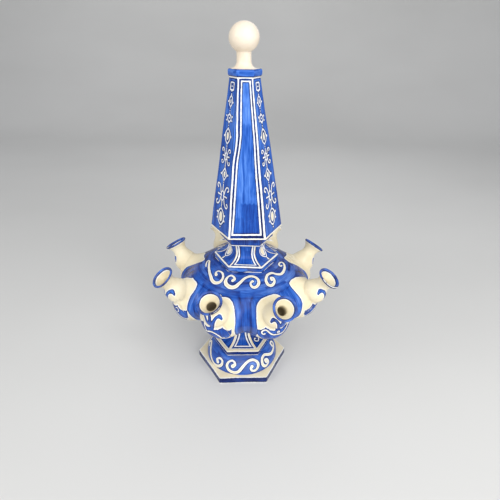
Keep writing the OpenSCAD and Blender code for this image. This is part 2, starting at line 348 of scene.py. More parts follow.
def glaze(name, seed, deep=0.0, warm=0.0):
    """Tin glaze with cobalt painting that follows the surface's own paint marks."""
    mat = bpy.data.materials.new(name)
    mat.use_nodes = True
    nt = mat.node_tree
    nt.nodes.clear()
    L = nt.links.new
    out = node(nt, "ShaderNodeOutputMaterial")
    bsdf = node(nt, "ShaderNodeBsdfPrincipled")
    L(bsdf.outputs[0], out.inputs[0])
    coord = node(nt, "ShaderNodeTexCoord")

    def noise(scale, detail=3.0, rough=0.5, vec=None, offset=0.0, stretch=None):
        m = node(nt, "ShaderNodeMapping")
        L(vec if vec is not None else coord.outputs["Object"], m.inputs["Vector"])
        m.inputs["Location"].default_value = (offset + seed * 3.17, seed * 1.7, offset)
        if stretch:
            m.inputs["Scale"].default_value = stretch
        t = node(nt, "ShaderNodeTexNoise")
        t.inputs["Scale"].default_value = scale
        t.inputs["Detail"].default_value = detail
        t.inputs["Roughness"].default_value = rough
        L(m.outputs[0], t.inputs["Vector"])
        return t.outputs["Fac"]

    def math_(op, a, b, c=None, clamp=False):
        m = node(nt, "ShaderNodeMath", operation=op, use_clamp=clamp)
        for i, v in enumerate((a, b, c)):
            if v is None:
                continue
            if isinstance(v, (int, float)):
                m.inputs[i].default_value = v
            else:
                L(v, m.inputs[i])
        return m.outputs[0]

    def ranged(v, a, b, c, d, kind="SMOOTHSTEP"):
        m = node(nt, "ShaderNodeMapRange", interpolation_type=kind)
        L(v, m.inputs["Value"])
        for key, x in (("From Min", a), ("From Max", b), ("To Min", c), ("To Max", d)):
            m.inputs[key].default_value = x
        return m.outputs["Result"]

    def mixed(f, a, b):
        m = node(nt, "ShaderNodeMix", data_type="RGBA")
        L(f, m.inputs[0])
        for sock, v in ((m.inputs[6], a), (m.inputs[7], b)):
            if isinstance(v, tuple):
                sock.default_value = v + (1.0,)
            else:
                L(v, sock)
        return m.outputs[2]

    def ramp(f, stops):
        r = node(nt, "ShaderNodeValToRGB")
        el = r.color_ramp.elements
        while len(el) < len(stops):
            el.new(0.5)
        for q, (p, c) in zip(el, stops):
            q.position = p
            q.color = c + (1.0,)
        L(f, r.inputs[0])
        return r.outputs[0]

    a_paint = node(nt, "ShaderNodeAttribute", attribute_name="paint").outputs["Fac"]
    a_tone = node(nt, "ShaderNodeAttribute", attribute_name="tone").outputs["Fac"]
    a_clay_and_shade = node(nt, "ShaderNodeAttribute", attribute_name="clay_and_shade").outputs["Fac"]
    a_st = node(nt, "ShaderNodeAttribute", attribute_name="st").outputs["Vector"]
    a_wide = node(nt, "ShaderNodeAttribute", attribute_name="wide").outputs["Fac"]

    # the painter's hand: edges waver a little
    waver = math_("MULTIPLY_ADD", noise(260, 2.0, 0.5), 0.9, -0.45)
    edge = math_("ADD", a_paint, waver)

    # cobalt: washes laid on in strokes, streaked along the stroke
    streak = noise(1.0, 3.0, 0.6, a_st, 4.0, (0.62, 0.035, 0.0))
    fine = noise(1.0, 2.0, 0.5, a_st, 9.0, (1.7, 0.09, 0.0))
    cloud = noise(28, 3.0, 0.55, None, 2.0)
    tone = math_("MULTIPLY_ADD", streak, 0.74, a_tone)
    tone = math_("MULTIPLY_ADD", fine, 0.34, tone)
    tone = math_("MULTIPLY_ADD", cloud, 0.34, tone)
    tone = math_("ADD", tone, -0.71 - deep)
    blue = ramp(tone, [(0.00, (0.0032, 0.0125, 0.095)), (0.22, (0.0065, 0.0400, 0.265)),
                       (0.45, (0.0170, 0.0980, 0.465)), (0.68, (0.0680, 0.2000, 0.660)),
                       (1.00, (0.2100, 0.3950, 0.820))])
    # where the wash is thin the ground greys it
    split = node(nt, "ShaderNodeSeparateXYZ")
    L(a_st, split.inputs[0])
    patchy = ranged(noise(30, 4.0, 0.62, None, 15.0), 0.46, 0.76, 0.0, 0.22)
    blue = mixed(math_("ADD", split.outputs[2], patchy, clamp=True), blue, (0.185, 0.225, 0.370))
    # dark trek line beside each reserve
    trek = math_("MULTIPLY", ranged(edge, 0.08, 0.28, 0.0, 1.0), ranged(edge, 0.90, 1.60, 1.0, 0.0))
    heavy = ranged(noise(60, 2.0, 0.5, None, 6.0), 0.30, 0.72, 0.58, 1.0)
    trek = math_("MULTIPLY", trek, heavy)
    blue = mixed(trek, blue, (0.0050, 0.0090, 0.056))
    # cream ground, whiter where it is only a line, with faint blue bleeding
    deepness = math_("MAXIMUM", ranged(a_paint, -1.8, -0.55, 1.0, 0.0),
                     math_("MULTIPLY", a_wide, ranged(a_paint, -1.50, -0.95, 1.0, 0.10)))
    mottle = noise(34, 4.0, 0.6, None, 12.0)
    ground = ramp(mottle, [(0.25, (0.760, 0.650 - 0.01 * warm, 0.428 + 0.06 * warm)),
                           (0.52, (0.835, 0.748 - 0.01 * warm, 0.538 + 0.07 * warm)),
                           (0.80, (0.870, 0.810 - 0.01 * warm, 0.640 + 0.05 * warm))])
    line = ramp(noise(90, 2.0, 0.5, None, 21.0), [(0.25, (0.70, 0.74, 0.82)), (0.55, (0.90, 0.91, 0.91)),
                                                   (0.80, (0.95, 0.94, 0.92))])
    cream = mixed(deepness, line, ground)
    bleed = ranged(noise(120, 3.0, 0.6, None, 30.0), 0.62, 0.80, 0.0, 0.16)
    cream = mixed(bleed, cream, (0.52, 0.60, 0.74))
    speck = ranged(noise(700, 1.0, 0.5, None, 41.0), 0.765, 0.80, 0.0, 0.55)
    cream = mixed(speck, cream, (0.30, 0.20, 0.11))
    # dark brown of unglazed earthenware with painted shade in it: it fills the throats and hollow insides, and draws
    # the painted shade line along each spout's crease
    bare_shaded = ramp(noise(140, 4.0, 0.6, None, 50.0), [(0.3, (0.15, 0.12, 0.075)), (0.7, (0.25, 0.20, 0.125))])

    reserve = ranged(edge, -0.16, 0.16, 1.0, 0.0)
    colour = mixed(reserve, blue, cream)
    colour = mixed(a_clay_and_shade, colour, bare_shaded)
    L(colour, bsdf.inputs["Base Color"])

    rough = ranged(noise(45, 3.0, 0.6, None, 60.0), 0.25, 0.75, 0.17, 0.30, "LINEAR")
    rough = math_("MULTIPLY_ADD", a_clay_and_shade, 0.55, rough, clamp=True)
    L(rough, bsdf.inputs["Roughness"])
    bsdf.inputs["IOR"].default_value = 1.45
    bsdf.inputs["Specular IOR Level"].default_value = 0.26
    bsdf.inputs["Coat Weight"].default_value = 0.06
    bsdf.inputs["Coat Roughness"].default_value = 0.10

    skin = math_("MULTIPLY_ADD", noise(55, 2.0, 0.5, None, 70.0), 1.0, math_("MULTIPLY", noise(330, 2.0, 0.5, None, 77.0), 0.16))
    thick = math_("MULTIPLY_ADD", reserve, -0.10, skin)
    bump = node(nt, "ShaderNodeBump")
    bump.inputs["Strength"].default_value = 0.30
    bump.inputs["Distance"].default_value = 0.0012
    L(thick, bump.inputs["Height"])
    L(bump.outputs[0], bsdf.inputs["Normal"])
    return mat


M_BLUE = glaze("glaze_blue", 1)
M_DEEP = glaze("glaze_deep", 2, 0.10)
M_CREAM = glaze("glaze_cream", 3, 0.0)
M_FINIAL = glaze("glaze_finial", 4, 0.0, 1.0)


# ------------------------------------------------------------------- artwork

# S-scroll of the foot dome: degrees from the middle of the sector, way down
# from the step, half width of the brush line
FOOT_S = spline([
    (-17.2, 20.4, 2.7), (-14.0, 17.2, 2.0), (-15.6, 12.9, 1.4), (-20.4, 11.6, 1.4), (-25.8, 15.8, 1.6),
    (-26.9, 22.4, 1.9), (-22.6, 29.2, 2.2), (-13.8, 31.7, 2.3), (-7.0, 28.3, 2.2), (-0.3, 19.3, 2.0),
    (8.2, 11.8, 1.8), (17.6, 10.2, 1.7), (24.8, 15.0, 1.9), (25.7, 22.2, 2.0), (21.3, 28.8, 1.9),
    (15.2, 28.8, 1.7), (12.7, 24.0, 1.5), (14.8, 20.9, 2.2)]) * [1.0, 1.0, 1.18]


def sectors(az, turn):
    """Sector number 0..5 from the front and the angle from its middle, in degrees."""
    a = az - turn
    k = np.floor((a + 30) / 60).astype(int)
    return np.mod(k, 6), a - 60 * k


def scrolls(az, way, turn, curve, scale, seed, own=None):
    """Scrolls that turn one way in one sector and the other way in the next."""
    k, a = sectors(az, turn)
    rng = np.random.RandomState(seed)
    F = np.full(az.shape, FAR)
    glow = np.zeros(az.shape)
    for i in range(6):
        m = np.zeros(az.shape, bool)
        near = np.abs((az - turn - 60 * i + 180) % 360 - 180) < 40
        m |= near
        x = ((az[m] - turn - 60 * i + 180) % 360 - 180) * scale
        y = way[m]
        c = curve.copy()
        if i:
            c[:, 0] = c[:, 0] * (0.97 + 0.06 * rng.rand()) + rng.rand() * 1.2 - 0.6
            c[:, 1] += rng.rand() * 1.2 - 0.6
        c[:, 0] *= scale
        if i % 2:
            c[:, 0] *= -1
        if own and i in own:
            c = own[i] * [scale, 1, 1]
        F[m] = np.minimum(F[m], brush(x, y, c))
        # pale wash inside the two curls
        for p in (c[1], c[-2]):
            d = np.hypot(x - p[0], y - p[1])
            glow[m] += 0.22 * (1 - smooth(3.5, 7.5, d))
    return F, glow


# ---------------------------------------------------------------- foot plate

rows = profile([(3, 0.0, 0, 12), (77, 0.0, 1.0, 0.6), (77, PLATE_T, 1.2, 0.9), (60, PLATE_T, 0, 8), (3, PLATE_T, 0, 1)])
P, c = hexagon(rows, FOOT_TURN, FOOT_X, rho=2.6, n_flat=64, n_arc=5)
side = c["R"] > 75.9
F = np.where(side, np.minimum(c["z"] - 1.1 - 0.3 * np.sin(c["s"] / 11), PLATE_T - 0.3 - c["z"]), -FAR)
F = np.where(side, F, np.where(c["z"] > 4, -np.minimum(FAR, 76.4 - c["R"]), -3.0))
tone = -0.02 + 0.12 * lanes(c["z"], c["s"] + 90 * c["face"], 3, 3.4, 23) - 0.08 * smooth(7.0, 10.0, c["z"])
tone += 0.14 * np.exp(-((c["s"] + 6) / 9) ** 2) * (c["face"] == 0)
clay_and_shade = np.where((c["z"] < 0.05) & (c["R"] < 75), 0.35, 0.0)
add_piece("foot_plate", P, "vase", ["foot_plate"], M_CREAM, F, tone, (c["z"] * 1.6, c["s"]), clay_and_shade, raised=0.0, wide=np.where(side, 0.0, 1.0))

# ----------------------------------------------------------------- foot dome

a = np.linspace(0, math.pi / 2, 64)
dome = evenly(np.stack([43 + 18 * np.cos(a), 8 + 27 * np.sin(a)], 1), 0.8)
rows = np.vstack([[(3, 7.4), (40, 7.4), (60.6, 7.4)], dome, [(30, 35.0), (3, 35.0)]])
P, c = turned(rows, 432, FOOT_X)
l = arc_length(rows)
top = l[2 + len(dome)]
way = (top - l)[:, None] + 0 * c["az"]
FOOT_L = spline([(14.4, 23.4, 2.5), (11.6, 19.8, 1.6), (16.4, 15.6, 1.4), (22.6, 17.6, 1.6), (22.8, 24.4, 1.9),
                 (15.8, 31.2, 2.2), (6.4, 32.6, 2.2), (-2.7, 28.0, 2.0), (-12.2, 19.6, 1.9), (-22.6, 13.2, 1.7),
                 (-29.6, 13.6, 1.6), (-30.6, 18.6, 1.5), (-26.0, 20.4, 2.0)]) * [1.0, 1.0, 1.18]
FOOT_R = spline([(-17.6, 23.3, 2.4), (-19.6, 18.8, 1.5), (-15.2, 20.6, 1.4), (-14.4, 27.4, 1.7), (-20.8, 30.4, 2.0),
                 (-26.0, 23.6, 2.0), (-24.3, 14.6, 1.8), (-16.6, 11.4, 1.8), (-8.9, 15.6, 1.9), (-0.1, 18.9, 2.0),
                 (11.2, 17.6, 1.8), (20.4, 13.8, 1.6), (20.2, 9.0, 1.3), (13.4, 8.4, 1.3), (12.0, 12.6, 2.0)]) * [1.0, 1.0, 1.18]
F, glow = scrolls(c["az"], way, FOOT_TURN, FOOT_S, 0.995, 5, {1: FOOT_R, 5: FOOT_L})
F = np.minimum(F, line_of(way - 38.6, 0.2) + 0.25)
x = c["az"] * 0.99
tone = 0.44 + 0.14 * lanes(way + 3 * np.sin(x / 14), x, 21, 4.6, 38) + glow
tone -= 0.10 * smooth(30, 36, way) + 0.30 * smooth(36.6, 37.6, way) + 0.10 * smooth(6, 1, way)
thin = 0.06 + 0.22 * smooth(-0.2, 1.2, ripple(np.stack([x.ravel(), way.ravel()], 1), 22, 30)).reshape(x.shape) + 0.25 * smooth(8, 3, way) * (np.abs(x) < 20)
add_piece("foot_dome", P, "vase", ["foot_dome"], M_BLUE, F, tone, (way, x, thin), wide=0.3)

# ---------------------------------------------------------------- lower step

rows = profile([(6, 35.2, 0, 12), (49.9, 35.0, 0.6, 0.8), (52.4, 47.0, 1.2, 1.5), (6, 46.8, 0, 1)])
P, c = hexagon(rows, FOOT_TURN, FOOT_X, rho=1.6, n_flat=56)
F = np.minimum(c["z"] - 36.7, 44.4 - c["z"])
F = np.where(c["R"] < 49, -2.0, F)
tone = 0.22 + 0.10 * lanes(c["z"], c["s"] + 70 * c["face"], 31, 4.0, 26)
add_piece("lower_step", P, "vase", ["lower_step"], M_DEEP, F, tone, (c["z"] * 1.4, c["s"]))


# ------------------------------------------------- concave hexagonal sections

def flare(sweep, r0, r1, height, grow, z0, step=0.75):
    h = np.concatenate([sweep * (1 - np.cos(np.linspace(0, math.pi / 2, 60))), np.linspace(sweep, height, 40)[1:]])
    r = np.where(h < sweep, r0 - (r0 - r1) * np.sqrt(np.maximum(0, 1 - ((sweep - np.minimum(h, sweep)) / sweep) ** 2)),
                 r1 + grow * (np.maximum(h - sweep, 0) / (height - sweep)) ** 2)
    return evenly(np.stack([r, z0 + h], 1), step)


# --------------------------------------------------------------------- waist

prof = flare(18.0, 52.0, 25.0, 53.0, 2.0, 47.0)
rows = np.vstack([[(6, 46.4), (51.6, 46.6)], prof, [(26.8, 100.8), (6, 101.0)]])
P, c = hexagon(rows, FOOT_TURN, FOOT_X, rho=1.4, n_flat=48)
l = (arc_length(rows) - arc_length(rows)[2])[:, None] + 0 * c["s"]
A = c["face"] % 2 == 0
e, s = c["e"], c["s"]
wob = 0.35 * np.sin(l / 9 + c["face"])
Fa = np.minimum(e - 4.0 - wob, l - 5.6)
inner = np.minimum(e - 7.5 - wob, l - 10.2)
Fa = np.minimum(Fa, line_of(inner, 1.15))
Fb = np.minimum(e + 0.1, l - 5.6)
# small scroll low on the faces between
for d in (-1, 1):
    tail = spline([(d * 2.0, 14.5, 1.2), (d * 5.5, 12.0, 1.0), (d * 9.5, 13.0, 1.2), (d * 11.5, 17.0, 1.0),
                   (d * 9.0, 20.0, 0.9), (d * 6.8, 18.0, 0.9)])
    Fb = np.where(c["face"] == 5, Fb, np.minimum(Fb, brush(s, l, tail)))
F = np.where(A, Fa, Fb)
tone = 0.30 + 0.15 * lanes(s + 60 * c["face"], l, 41, 6.0, 22) - 0.10 * smooth(40, 66, l)
add_piece("lower_waist", P, "vase", ["lower_waist"], M_BLUE, F, tone, (s, l))

# --------------------------------------------------- forms of belly and spouts

TUBE = spline([(17.25, 2.2), (15.6, 4.0), (12.9, 7.4), (11.25, 11.5), (10.9, 15.0), (11.8, 19.0), (14.3, 24.0),
               (16.7, 29.0), (18.0, 34.0), (17.9, 38.5), (16.4, 43.0)], 10)
TUBE_R, TUBE_T = TUBE[:, 0], TUBE[:, 1]
ROOT_T, ROOT_RHO, ROOT_Z, ROOT_R1 = 36.0, 83.5, 157.2, 22.6

BELLY_A, Z_LOW, Z_WIDE, Z_TOP = 69.0, 100.0, 148.0, 197.0
UP_B, DOWN_B = 49 / math.sqrt(1 - (13 / BELLY_A) ** 2), 43.5
_p, _q = 5 / BELLY_A, 48 / DOWN_B
_t = math.asin(1 / math.hypot(_p, _q)) - math.atan2(_p, _q)
Z_CONE, R_CONE = Z_WIDE - DOWN_B * math.sin(_t), 29 + BELLY_A * math.cos(_t)


def belly_radius(z):
    """Profile of the belly: rounded shoulder, rounded flank, conical underside."""
    up = 29 + BELLY_A * np.sqrt(np.maximum(0, 1 - ((z - Z_WIDE) / UP_B) ** 2))
    down = 29 + BELLY_A * np.sqrt(np.maximum(0, 1 - ((Z_WIDE - z) / DOWN_B) ** 2))
    cone = 34 + (R_CONE - 34) * (z - Z_LOW) / (Z_CONE - Z_LOW)
    return np.where(z > Z_WIDE, up, np.where(z > Z_CONE, down, cone))


def belly_slope(z):
    return (belly_radius(z + 0.25) - belly_radius(z - 0.25)) / 0.5


PZ = np.linspace(Z_TOP, Z_LOW, 3000)
PW = np.concatenate([[0], np.cumsum(np.hypot(np.diff(belly_radius(PZ)), np.diff(PZ)))])


def belly_field(P):
    z = np.clip(P[..., 2], Z_LOW + 0.3, Z_TOP - 0.5)
    rho = np.hypot(P[..., 0], P[..., 1])
    f = (rho - belly_radius(z)) / np.sqrt(1 + belly_slope(z) ** 2)
    return np.maximum(f, np.maximum(P[..., 2] - Z_TOP, Z_LOW - P[..., 2]))


def belly_way(P):
    """Way down the belly's profile from the flange, to the point of it next to P."""
    z = np.clip(P[..., 2], Z_LOW + 0.3, Z_TOP - 0.5)
    for _ in range(3):
        f = (np.hypot(P[..., 0], P[..., 1]) - belly_radius(z)) / np.sqrt(1 + belly_slope(z) ** 2)
        s = belly_slope(z)
        z = np.clip(P[..., 2] + f * s / np.sqrt(1 + s * s), Z_LOW + 0.3, Z_TOP - 0.5)
    return np.interp(z, PZ[::-1], PW[::-1])


def spout_frame(name, az, rho, z, el, b_rho, b_z, r0):
    a, e = math.radians(az), math.radians(el)
    out = np.array([math.sin(a), -math.cos(a), 0.0])
    side = np.array([math.cos(a), math.sin(a), 0.0])
    d = math.cos(e) * out + np.array([0, 0, math.sin(e)])
    under = math.sin(e) * out - np.array([0, 0, math.cos(e)])
    return rho * out + np.array([0, 0, z]), d, under, side, out, b_rho * out + np.array([0, 0, b_z]), r0


FRAMES = [spout_frame(*q) for q in SPOUTS]


def join(a, b, k):
    """Union of two distances with a soft inner corner."""
    h = np.maximum(k - np.abs(a - b), 0.0) / k
    return np.minimum(a, b) - h * h * k / 4


def spout_parts(P, fr):
    """Distances from points to the parts of one spout: head, root that runs into the shoulder, boss."""
    M, d, under, side, out, B, r0 = fr
    q = P - M
    t = -(q @ d)
    r = np.linalg.norm(q + t[..., None] * d, axis=-1)
    head = r - np.interp(t, TUBE_T, TUBE_R)
    head = np.where(t > 43, np.hypot(np.maximum(r - 12.4, 0), t - 43) - 4.0, head)
    head = np.where(t < 2.2, np.maximum(head, -t), head)
    A0 = M - ROOT_T * d
    ax = ROOT_RHO * out + np.array([0, 0, ROOT_Z]) - A0
    u = np.clip(((P - A0) @ ax) / (ax @ ax), -0.2, 1.3)
    root = np.linalg.norm(P - A0 - u[..., None] * ax, axis=-1) - (r0 + u * (ROOT_R1 - r0))
    return head, root, np.linalg.norm(P - B, axis=-1) - BOSS_R


def spout_field(P, fr):
    head, root, boss = spout_parts(P, fr)
    return join(join(head, root, 1.6), boss, 2.5)


SOFT = 14.0

# --------------------------------------------------------- painting of the belly

# right half of the cream reserve about a spout, sideways and height
ARCH = [(0.0, 182.4), (5.6, 182.2), (10.2, 181.0), (15.2, 178.2), (18.6, 175.0), (21.4, 171.0), (23.2, 166.6),
        (24.9, 160.2), (26.3, 152.5), (27.2, 143.0), (27.4, 134.0), (25.6, 126.0), (20.5, 119.0), (11.5, 114.5), (0.0, 113.0)]
ARCH_FL = [(0.3, 181.6), (5.6, 181.6), (10.1, 180.7), (15.2, 178.1), (18.4, 175.2), (21.4, 171.1), (23.3, 167.0),
           (25.3, 160.3), (26.6, 152.5), (26.9, 142.7), (26.2, 134.0), (24.6, 126.0), (20.0, 119.0), (11.0, 114.5), (0.3, 113.0)]
ARCH_FR = [(0.0, 182.4), (5.3, 181.9), (12.2, 180.2), (17.7, 176.9), (21.3, 172.8), (23.0, 168.6), (24.2, 163.0),
           (25.1, 157.1), (25.5, 150.4), (25.8, 142.0), (25.4, 133.0), (24.0, 126.0), (19.6, 119.0), (11.0, 114.5), (0.0, 113.0)]
ARCH_L = [(0.0, 182.4), (3.4, 182.2), (9.6, 181.3), (14.8, 179.4), (18.2, 176.1), (20.3, 171.6), (20.9, 166.3),
          (22.7, 159.8), (25.0, 153.1), (26.6, 147.1), (28.1, 141.2), (28.7, 132.8), (26.4, 124.5), (20.5, 118.0), (11.5, 114.0), (0.0, 113.0)]
ARCH_R = [(0.0, 183.4), (1.5, 183.6), (9.9, 184.0), (18.0, 182.6), (20.7, 179.8), (22.6, 174.9), (24.0, 168.9),
          (25.1, 163.1), (26.6, 156.0), (27.8, 149.7), (28.7, 142.5), (28.0, 134.3), (25.8, 125.5), (20.0, 118.5), (11.0, 114.5), (0.0, 113.0)]
ARCH_UL = [(0.0, 187.4), (3.6, 187.6), (10.0, 188.6), (16.9, 190.2), (22.4, 190.0), (25.0, 187.5), (24.6, 181.0), (22.0, 173.5),
           (20.9, 167.6), (21.6, 160.0), (22.8, 148.6), (24.6, 138.0), (24.6, 128.0), (20.0, 119.0), (11.0, 114.5), (0.0, 113.0)]
ARCH_UR = [(0.0, 187.4), (4.2, 188.6), (10.0, 190.6), (16.3, 192.6), (23.9, 191.0), (27.8, 188.6), (28.7, 183.3), (27.6, 174.7),
           (27.8, 165.8), (28.6, 156.0), (28.4, 144.0), (27.4, 133.0), (24.4, 124.5), (19.0, 118.0), (10.5, 114.5), (0.0, 113.0)]
# outer halves of the left and right reserves, whose tops slope away
FLANK = [(24.9, 160.2), (26.3, 152.5), (27.2, 143.0), (27.4, 134.0), (25.6, 126.0), (20.5, 119.0), (11.5, 114.5), (0.0, 113.0)]
ARCH_LO = [(0.0, 182.2), (4.3, 181.1), (7.8, 179.7), (12.2, 177.2), (16.6, 174.0), (20.6, 170.2), (23.2, 166.0)] + FLANK
ARCH_RO = [(0.0, 183.3), (1.9, 182.7), (6.4, 181.1), (11.9, 178.3), (16.5, 175.2), (20.5, 171.4), (23.2, 166.6)] + FLANK
# halves of the two rear reserves that face the back
ARCH_UB = [(0.0, 187.4), (4.0, 186.6), (9.0, 184.4), (14.0, 181.0), (18.6, 176.4), (21.4, 171.6), (23.2, 166.6)] + FLANK
# left half and right half of each reserve
HALVES = [(ARCH, ARCH_FL), (ARCH_FR, ARCH), (ARCH_R, ARCH_RO), (ARCH_UR, ARCH_UB), (ARCH, ARCH), (ARCH, ARCH),
          (ARCH_UB, ARCH_UL), (ARCH_LO, ARCH_L)]


def outline(X, Y, pts):
    """Signed distance to a closed outline, negative inside."""
    p = np.asarray(pts, float)
    best = np.full(X.shape, 1e6)
    inside = np.zeros(X.shape, bool)
    for a, b in zip(p, np.roll(p, -1, axis=0)):
        dx, dy = b - a
        t = np.clip(((X - a[0]) * dx + (Y - a[1]) * dy) / (dx * dx + dy * dy + 1e-12), 0, 1)
        np.minimum(best, (X - a[0] - t * dx) ** 2 + (Y - a[1] - t * dy) ** 2, out=best)
        if a[1] != b[1]:
            cross = ((a[1] > Y) != (b[1] > Y)) & (X < a[0] + dx * (Y - a[1]) / dy)
            inside ^= cross
    d = np.sqrt(best)
    return np.where(inside, -d, d)


RESERVES = []
for left, right in HALVES:
    r = spline(right, 4)
    l = spline(left, 4) * [-1, 1]
    RESERVES.append(np.vstack([r, l[::-1][1:-1]]))

# S-scrolls of the shoulder: degrees from the middle of the sector, way down
# from the flange, half width of the brush line
SHOULDER_S = spline([
    (-16.0, 18.1, 2.5), (-14.4, 14.8, 2.1), (-17.3, 11.3, 1.5), (-22.1, 10.0, 1.5), (-25.7, 14.2, 1.7),
    (-25.3, 21.6, 2.3), (-21.1, 27.3, 2.8), (-15.2, 29.5, 2.9), (-10.3, 27.4, 2.7), (-6.1, 20.6, 2.3),
    (-0.8, 12.5, 2.1), (6.0, 8.4, 1.9), (13.1, 8.6, 1.9), (18.7, 13.0, 2.1), (19.3, 20.0, 2.2),
    (16.1, 25.8, 2.0), (11.6, 27.9, 1.9), (8.5, 24.4, 1.6), (8.2, 19.6, 1.4), (11.1, 17.3, 2.0)])
SHOULDER_L = spline([(16.1, 18.8, 2.2), (11.8, 15.6, 1.5), (13.3, 11.2, 1.3), (20.9, 10.8, 1.4), (27.7, 16.6, 1.7),
                     (28.9, 24.7, 2.1), (25.2, 29.7, 2.4), (18.5, 29.6, 2.4), (8.5, 24.0, 2.0), (-5.8, 18.6, 1.7),
                     (-16.8, 15.8, 1.5), (-23.0, 15.4, 1.3), (-24.4, 17.8, 1.2), (-19.0, 20.2, 1.0), (-11.4, 21.9, 0.8)])
SHOULDER_R = spline([(-22.0, 22.2, 2.2), (-20.7, 18.5, 1.4), (-18.0, 20.9, 1.4), (-20.4, 26.9, 1.7), (-26.7, 30.5, 2.1),
                     (-30.6, 27.2, 2.1), (-29.6, 18.9, 2.0), (-22.3, 12.0, 1.9), (-13.0, 12.3, 2.0), (-8.5, 18.2, 2.1),
                     (-2.1, 22.0, 2.1), (7.7, 21.0, 1.9), (18.2, 18.4, 1.7), (24.4, 14.4, 1.5), (21.6, 10.4, 1.3),
                     (14.6, 10.0, 1.2), (12.0, 12.8, 1.3), (15.4, 14.6, 1.2)])
# behind the tall side reserves there is room for half a scroll only
SHOULDER_H = spline([(5.0, 15.0, 1.5), (8.0, 10.8, 1.7), (14.0, 9.2, 1.9), (20.5, 12.5, 2.1), (23.0, 19.5, 2.2),
                     (20.5, 26.0, 2.1), (15.5, 27.5, 1.8), (13.0, 23.5, 1.5), (15.5, 20.0, 2.0)])


def belly_paint(P):
    """Paint, tone and stroke directions of the belly at points on it or near it."""
    shape = P.shape[:-1]
    Q = P.reshape(-1, 3)
    az = np.degrees(np.arctan2(Q[:, 0], -Q[:, 1]))
    way = belly_way(Q)
    F, glow = scrolls(az, way, NECK_TURN, SHOULDER_S, 1.12, 8, {1: SHOULDER_R, 2: SHOULDER_H, 4: SHOULDER_H * [-1, 1, 1], 5: SHOULDER_L})
    arch = np.full(F.shape, 40.0)
    for fr, pts in zip(FRAMES, RESERVES):
        side, out = fr[3], fr[4]
        m = (Q @ out > 30) & (np.abs(Q @ side) < 55)
        x, y = (Q @ side)[m], Q[m, 2]
        wob = 0.35 * np.sin(y / 11 + 2 * side[0]) + 0.25 * np.sin(y / 4.3 + side[1])
        arch[m] = np.minimum(arch[m], outline(x + wob * np.clip(x / 8, -1, 1), y, pts))
    wide = np.where(arch < F + 0.3, 1.0, 0.25)
    F = np.minimum(F, arch)
    x = az * 1.55
    pts = np.stack([x, way], 1)
    drift = ripple(pts, 5, 60)
    # strokes go round the shoulder, curve about the arches, and run down between them
    near = 1 - smooth(7, 20, arch)
    round_ = lanes(way + 1.5 * np.sin(x / 23), x, 51, 4.6, 44)
    bend = np.sin(arch / 1.55 + 1.3 * drift)
    down = lanes(x + 2 * np.sin(way / 17), way, 52, 5.2, 34)
    low = smooth(36, 50, way)
    tone = 0.39 + (0.24 * round_ * (1 - low) + 0.15 * down * low * (1 - 0.5 * near)) + 0.09 * bend * near * (0.35 + 0.65 * low) + glow
    # a dark drawn line that follows each arch at a finger's breadth
    follow = np.exp(-((arch - 6.6 - 0.7 * drift) / 0.75) ** 2) * smooth(0.1, 0.6, low) * smooth(-1.2, 0.4, ripple(pts, 6, 45))
    tone -= 0.26 * follow
    tone += 0.04 * np.exp(-((arch - 3.4) / 2.0) ** 2) * low
    tone += 0.05 * smooth(44, 58, way) * (1 - smooth(78, 90, way))
    # the foot of the flank: a greyer band, a dark line and a pale one
    tone -= 0.06 * smooth(79, 85, way) * (1 - smooth(94, 96, way))
    tone -= 0.34 * np.exp(-((way - 97.6) / 1.5) ** 2) + 0.10 * smooth(106, 112, way)
    tone += 0.34 * np.exp(-((way - 103.0) / 1.5) ** 2)
    tone -= 0.16 * np.exp(-((way - 43.9) / 0.9) ** 2)
    # painted shade: the belly's sides and back are painted darker
    tone -= 0.17 * smooth(56, 80, np.abs(az))
    pool = np.exp(-((az + 31.5) / 4.2) ** 2 - ((way - 27) / 6.0) ** 2) + np.exp(-((az - 27.5) / 4.2) ** 2 - ((way - 27) / 6.0) ** 2)
    low_pool = np.exp(-((np.abs(az) - 28) / 6.5) ** 2 - ((way - 39) / 3.2) ** 2)
    tone += 0.14 * pool + 0.20 * low_pool
    tone -= 0.10 * np.exp(-((way - 2.0) / 2.5) ** 2)
    thin = (0.02 + 0.14 * smooth(-0.3, 1.3, ripple(pts, 7, 38))) * (1 - low) - 0.14 * low
    # less of the grey wash on the sides and back, as part of their painted shade
    thin += 0.30 * pool + 0.22 * low_pool - 0.11 * smooth(56, 80, np.abs(az))
    thin += 0.30 * smooth(79, 86, way) * (1 - smooth(94, 96, way)) + 0.25 * np.exp(-((way - 103.0) / 1.8) ** 2)
    thin += 0.14 * smooth(0.2, 0.8, round_) * (1 - low)
    flow = smooth(36, 48, way)
    return (F.reshape(shape), tone.reshape(shape), (way * (1 - flow) + x * flow).reshape(shape),
            (x * (1 - flow) + way * flow).reshape(shape), thin.reshape(shape), wide.reshape(shape))


def along_skin(F, P, first=1):
    """Rescales marks on a grid that wraps round so that they count the way along the skin."""
    Fu = np.roll(F, -1, 1) - np.roll(F, 1, 1)
    lu = np.linalg.norm(np.roll(P, -1, 1) - np.roll(P, 1, 1), axis=2)
    g = (Fu / np.maximum(lu, 1e-3)) ** 2
    Fv, lv = F[2:] - F[:-2], np.linalg.norm(P[2:] - P[:-2], axis=2)
    g[1:-1] += (Fv / np.maximum(lv, 1e-3)) ** 2
    g[0], g[-1] = g[1], g[-2]
    g = np.clip(np.sqrt(g), 0.30, 1.0)
    for _ in range(2):
        g = (np.roll(g, 1, 1) + 2 * g + np.roll(g, -1, 1)) / 4
    g[:first] = 1.0
    return np.clip(F / g, -FAR, FAR)


# ------------------------------------------------------------------- spouts

ARM = spline([(0.0, 37.5, 4.0), (2.2, 33.0, 3.4), (4.2, 28.2, 2.8), (6.4, 24.0, 2.5), (9.2, 21.4, 2.45), (12.4, 21.4, 2.35),
              (15.4, 23.7, 2.2), (17.2, 27.4, 1.5)])
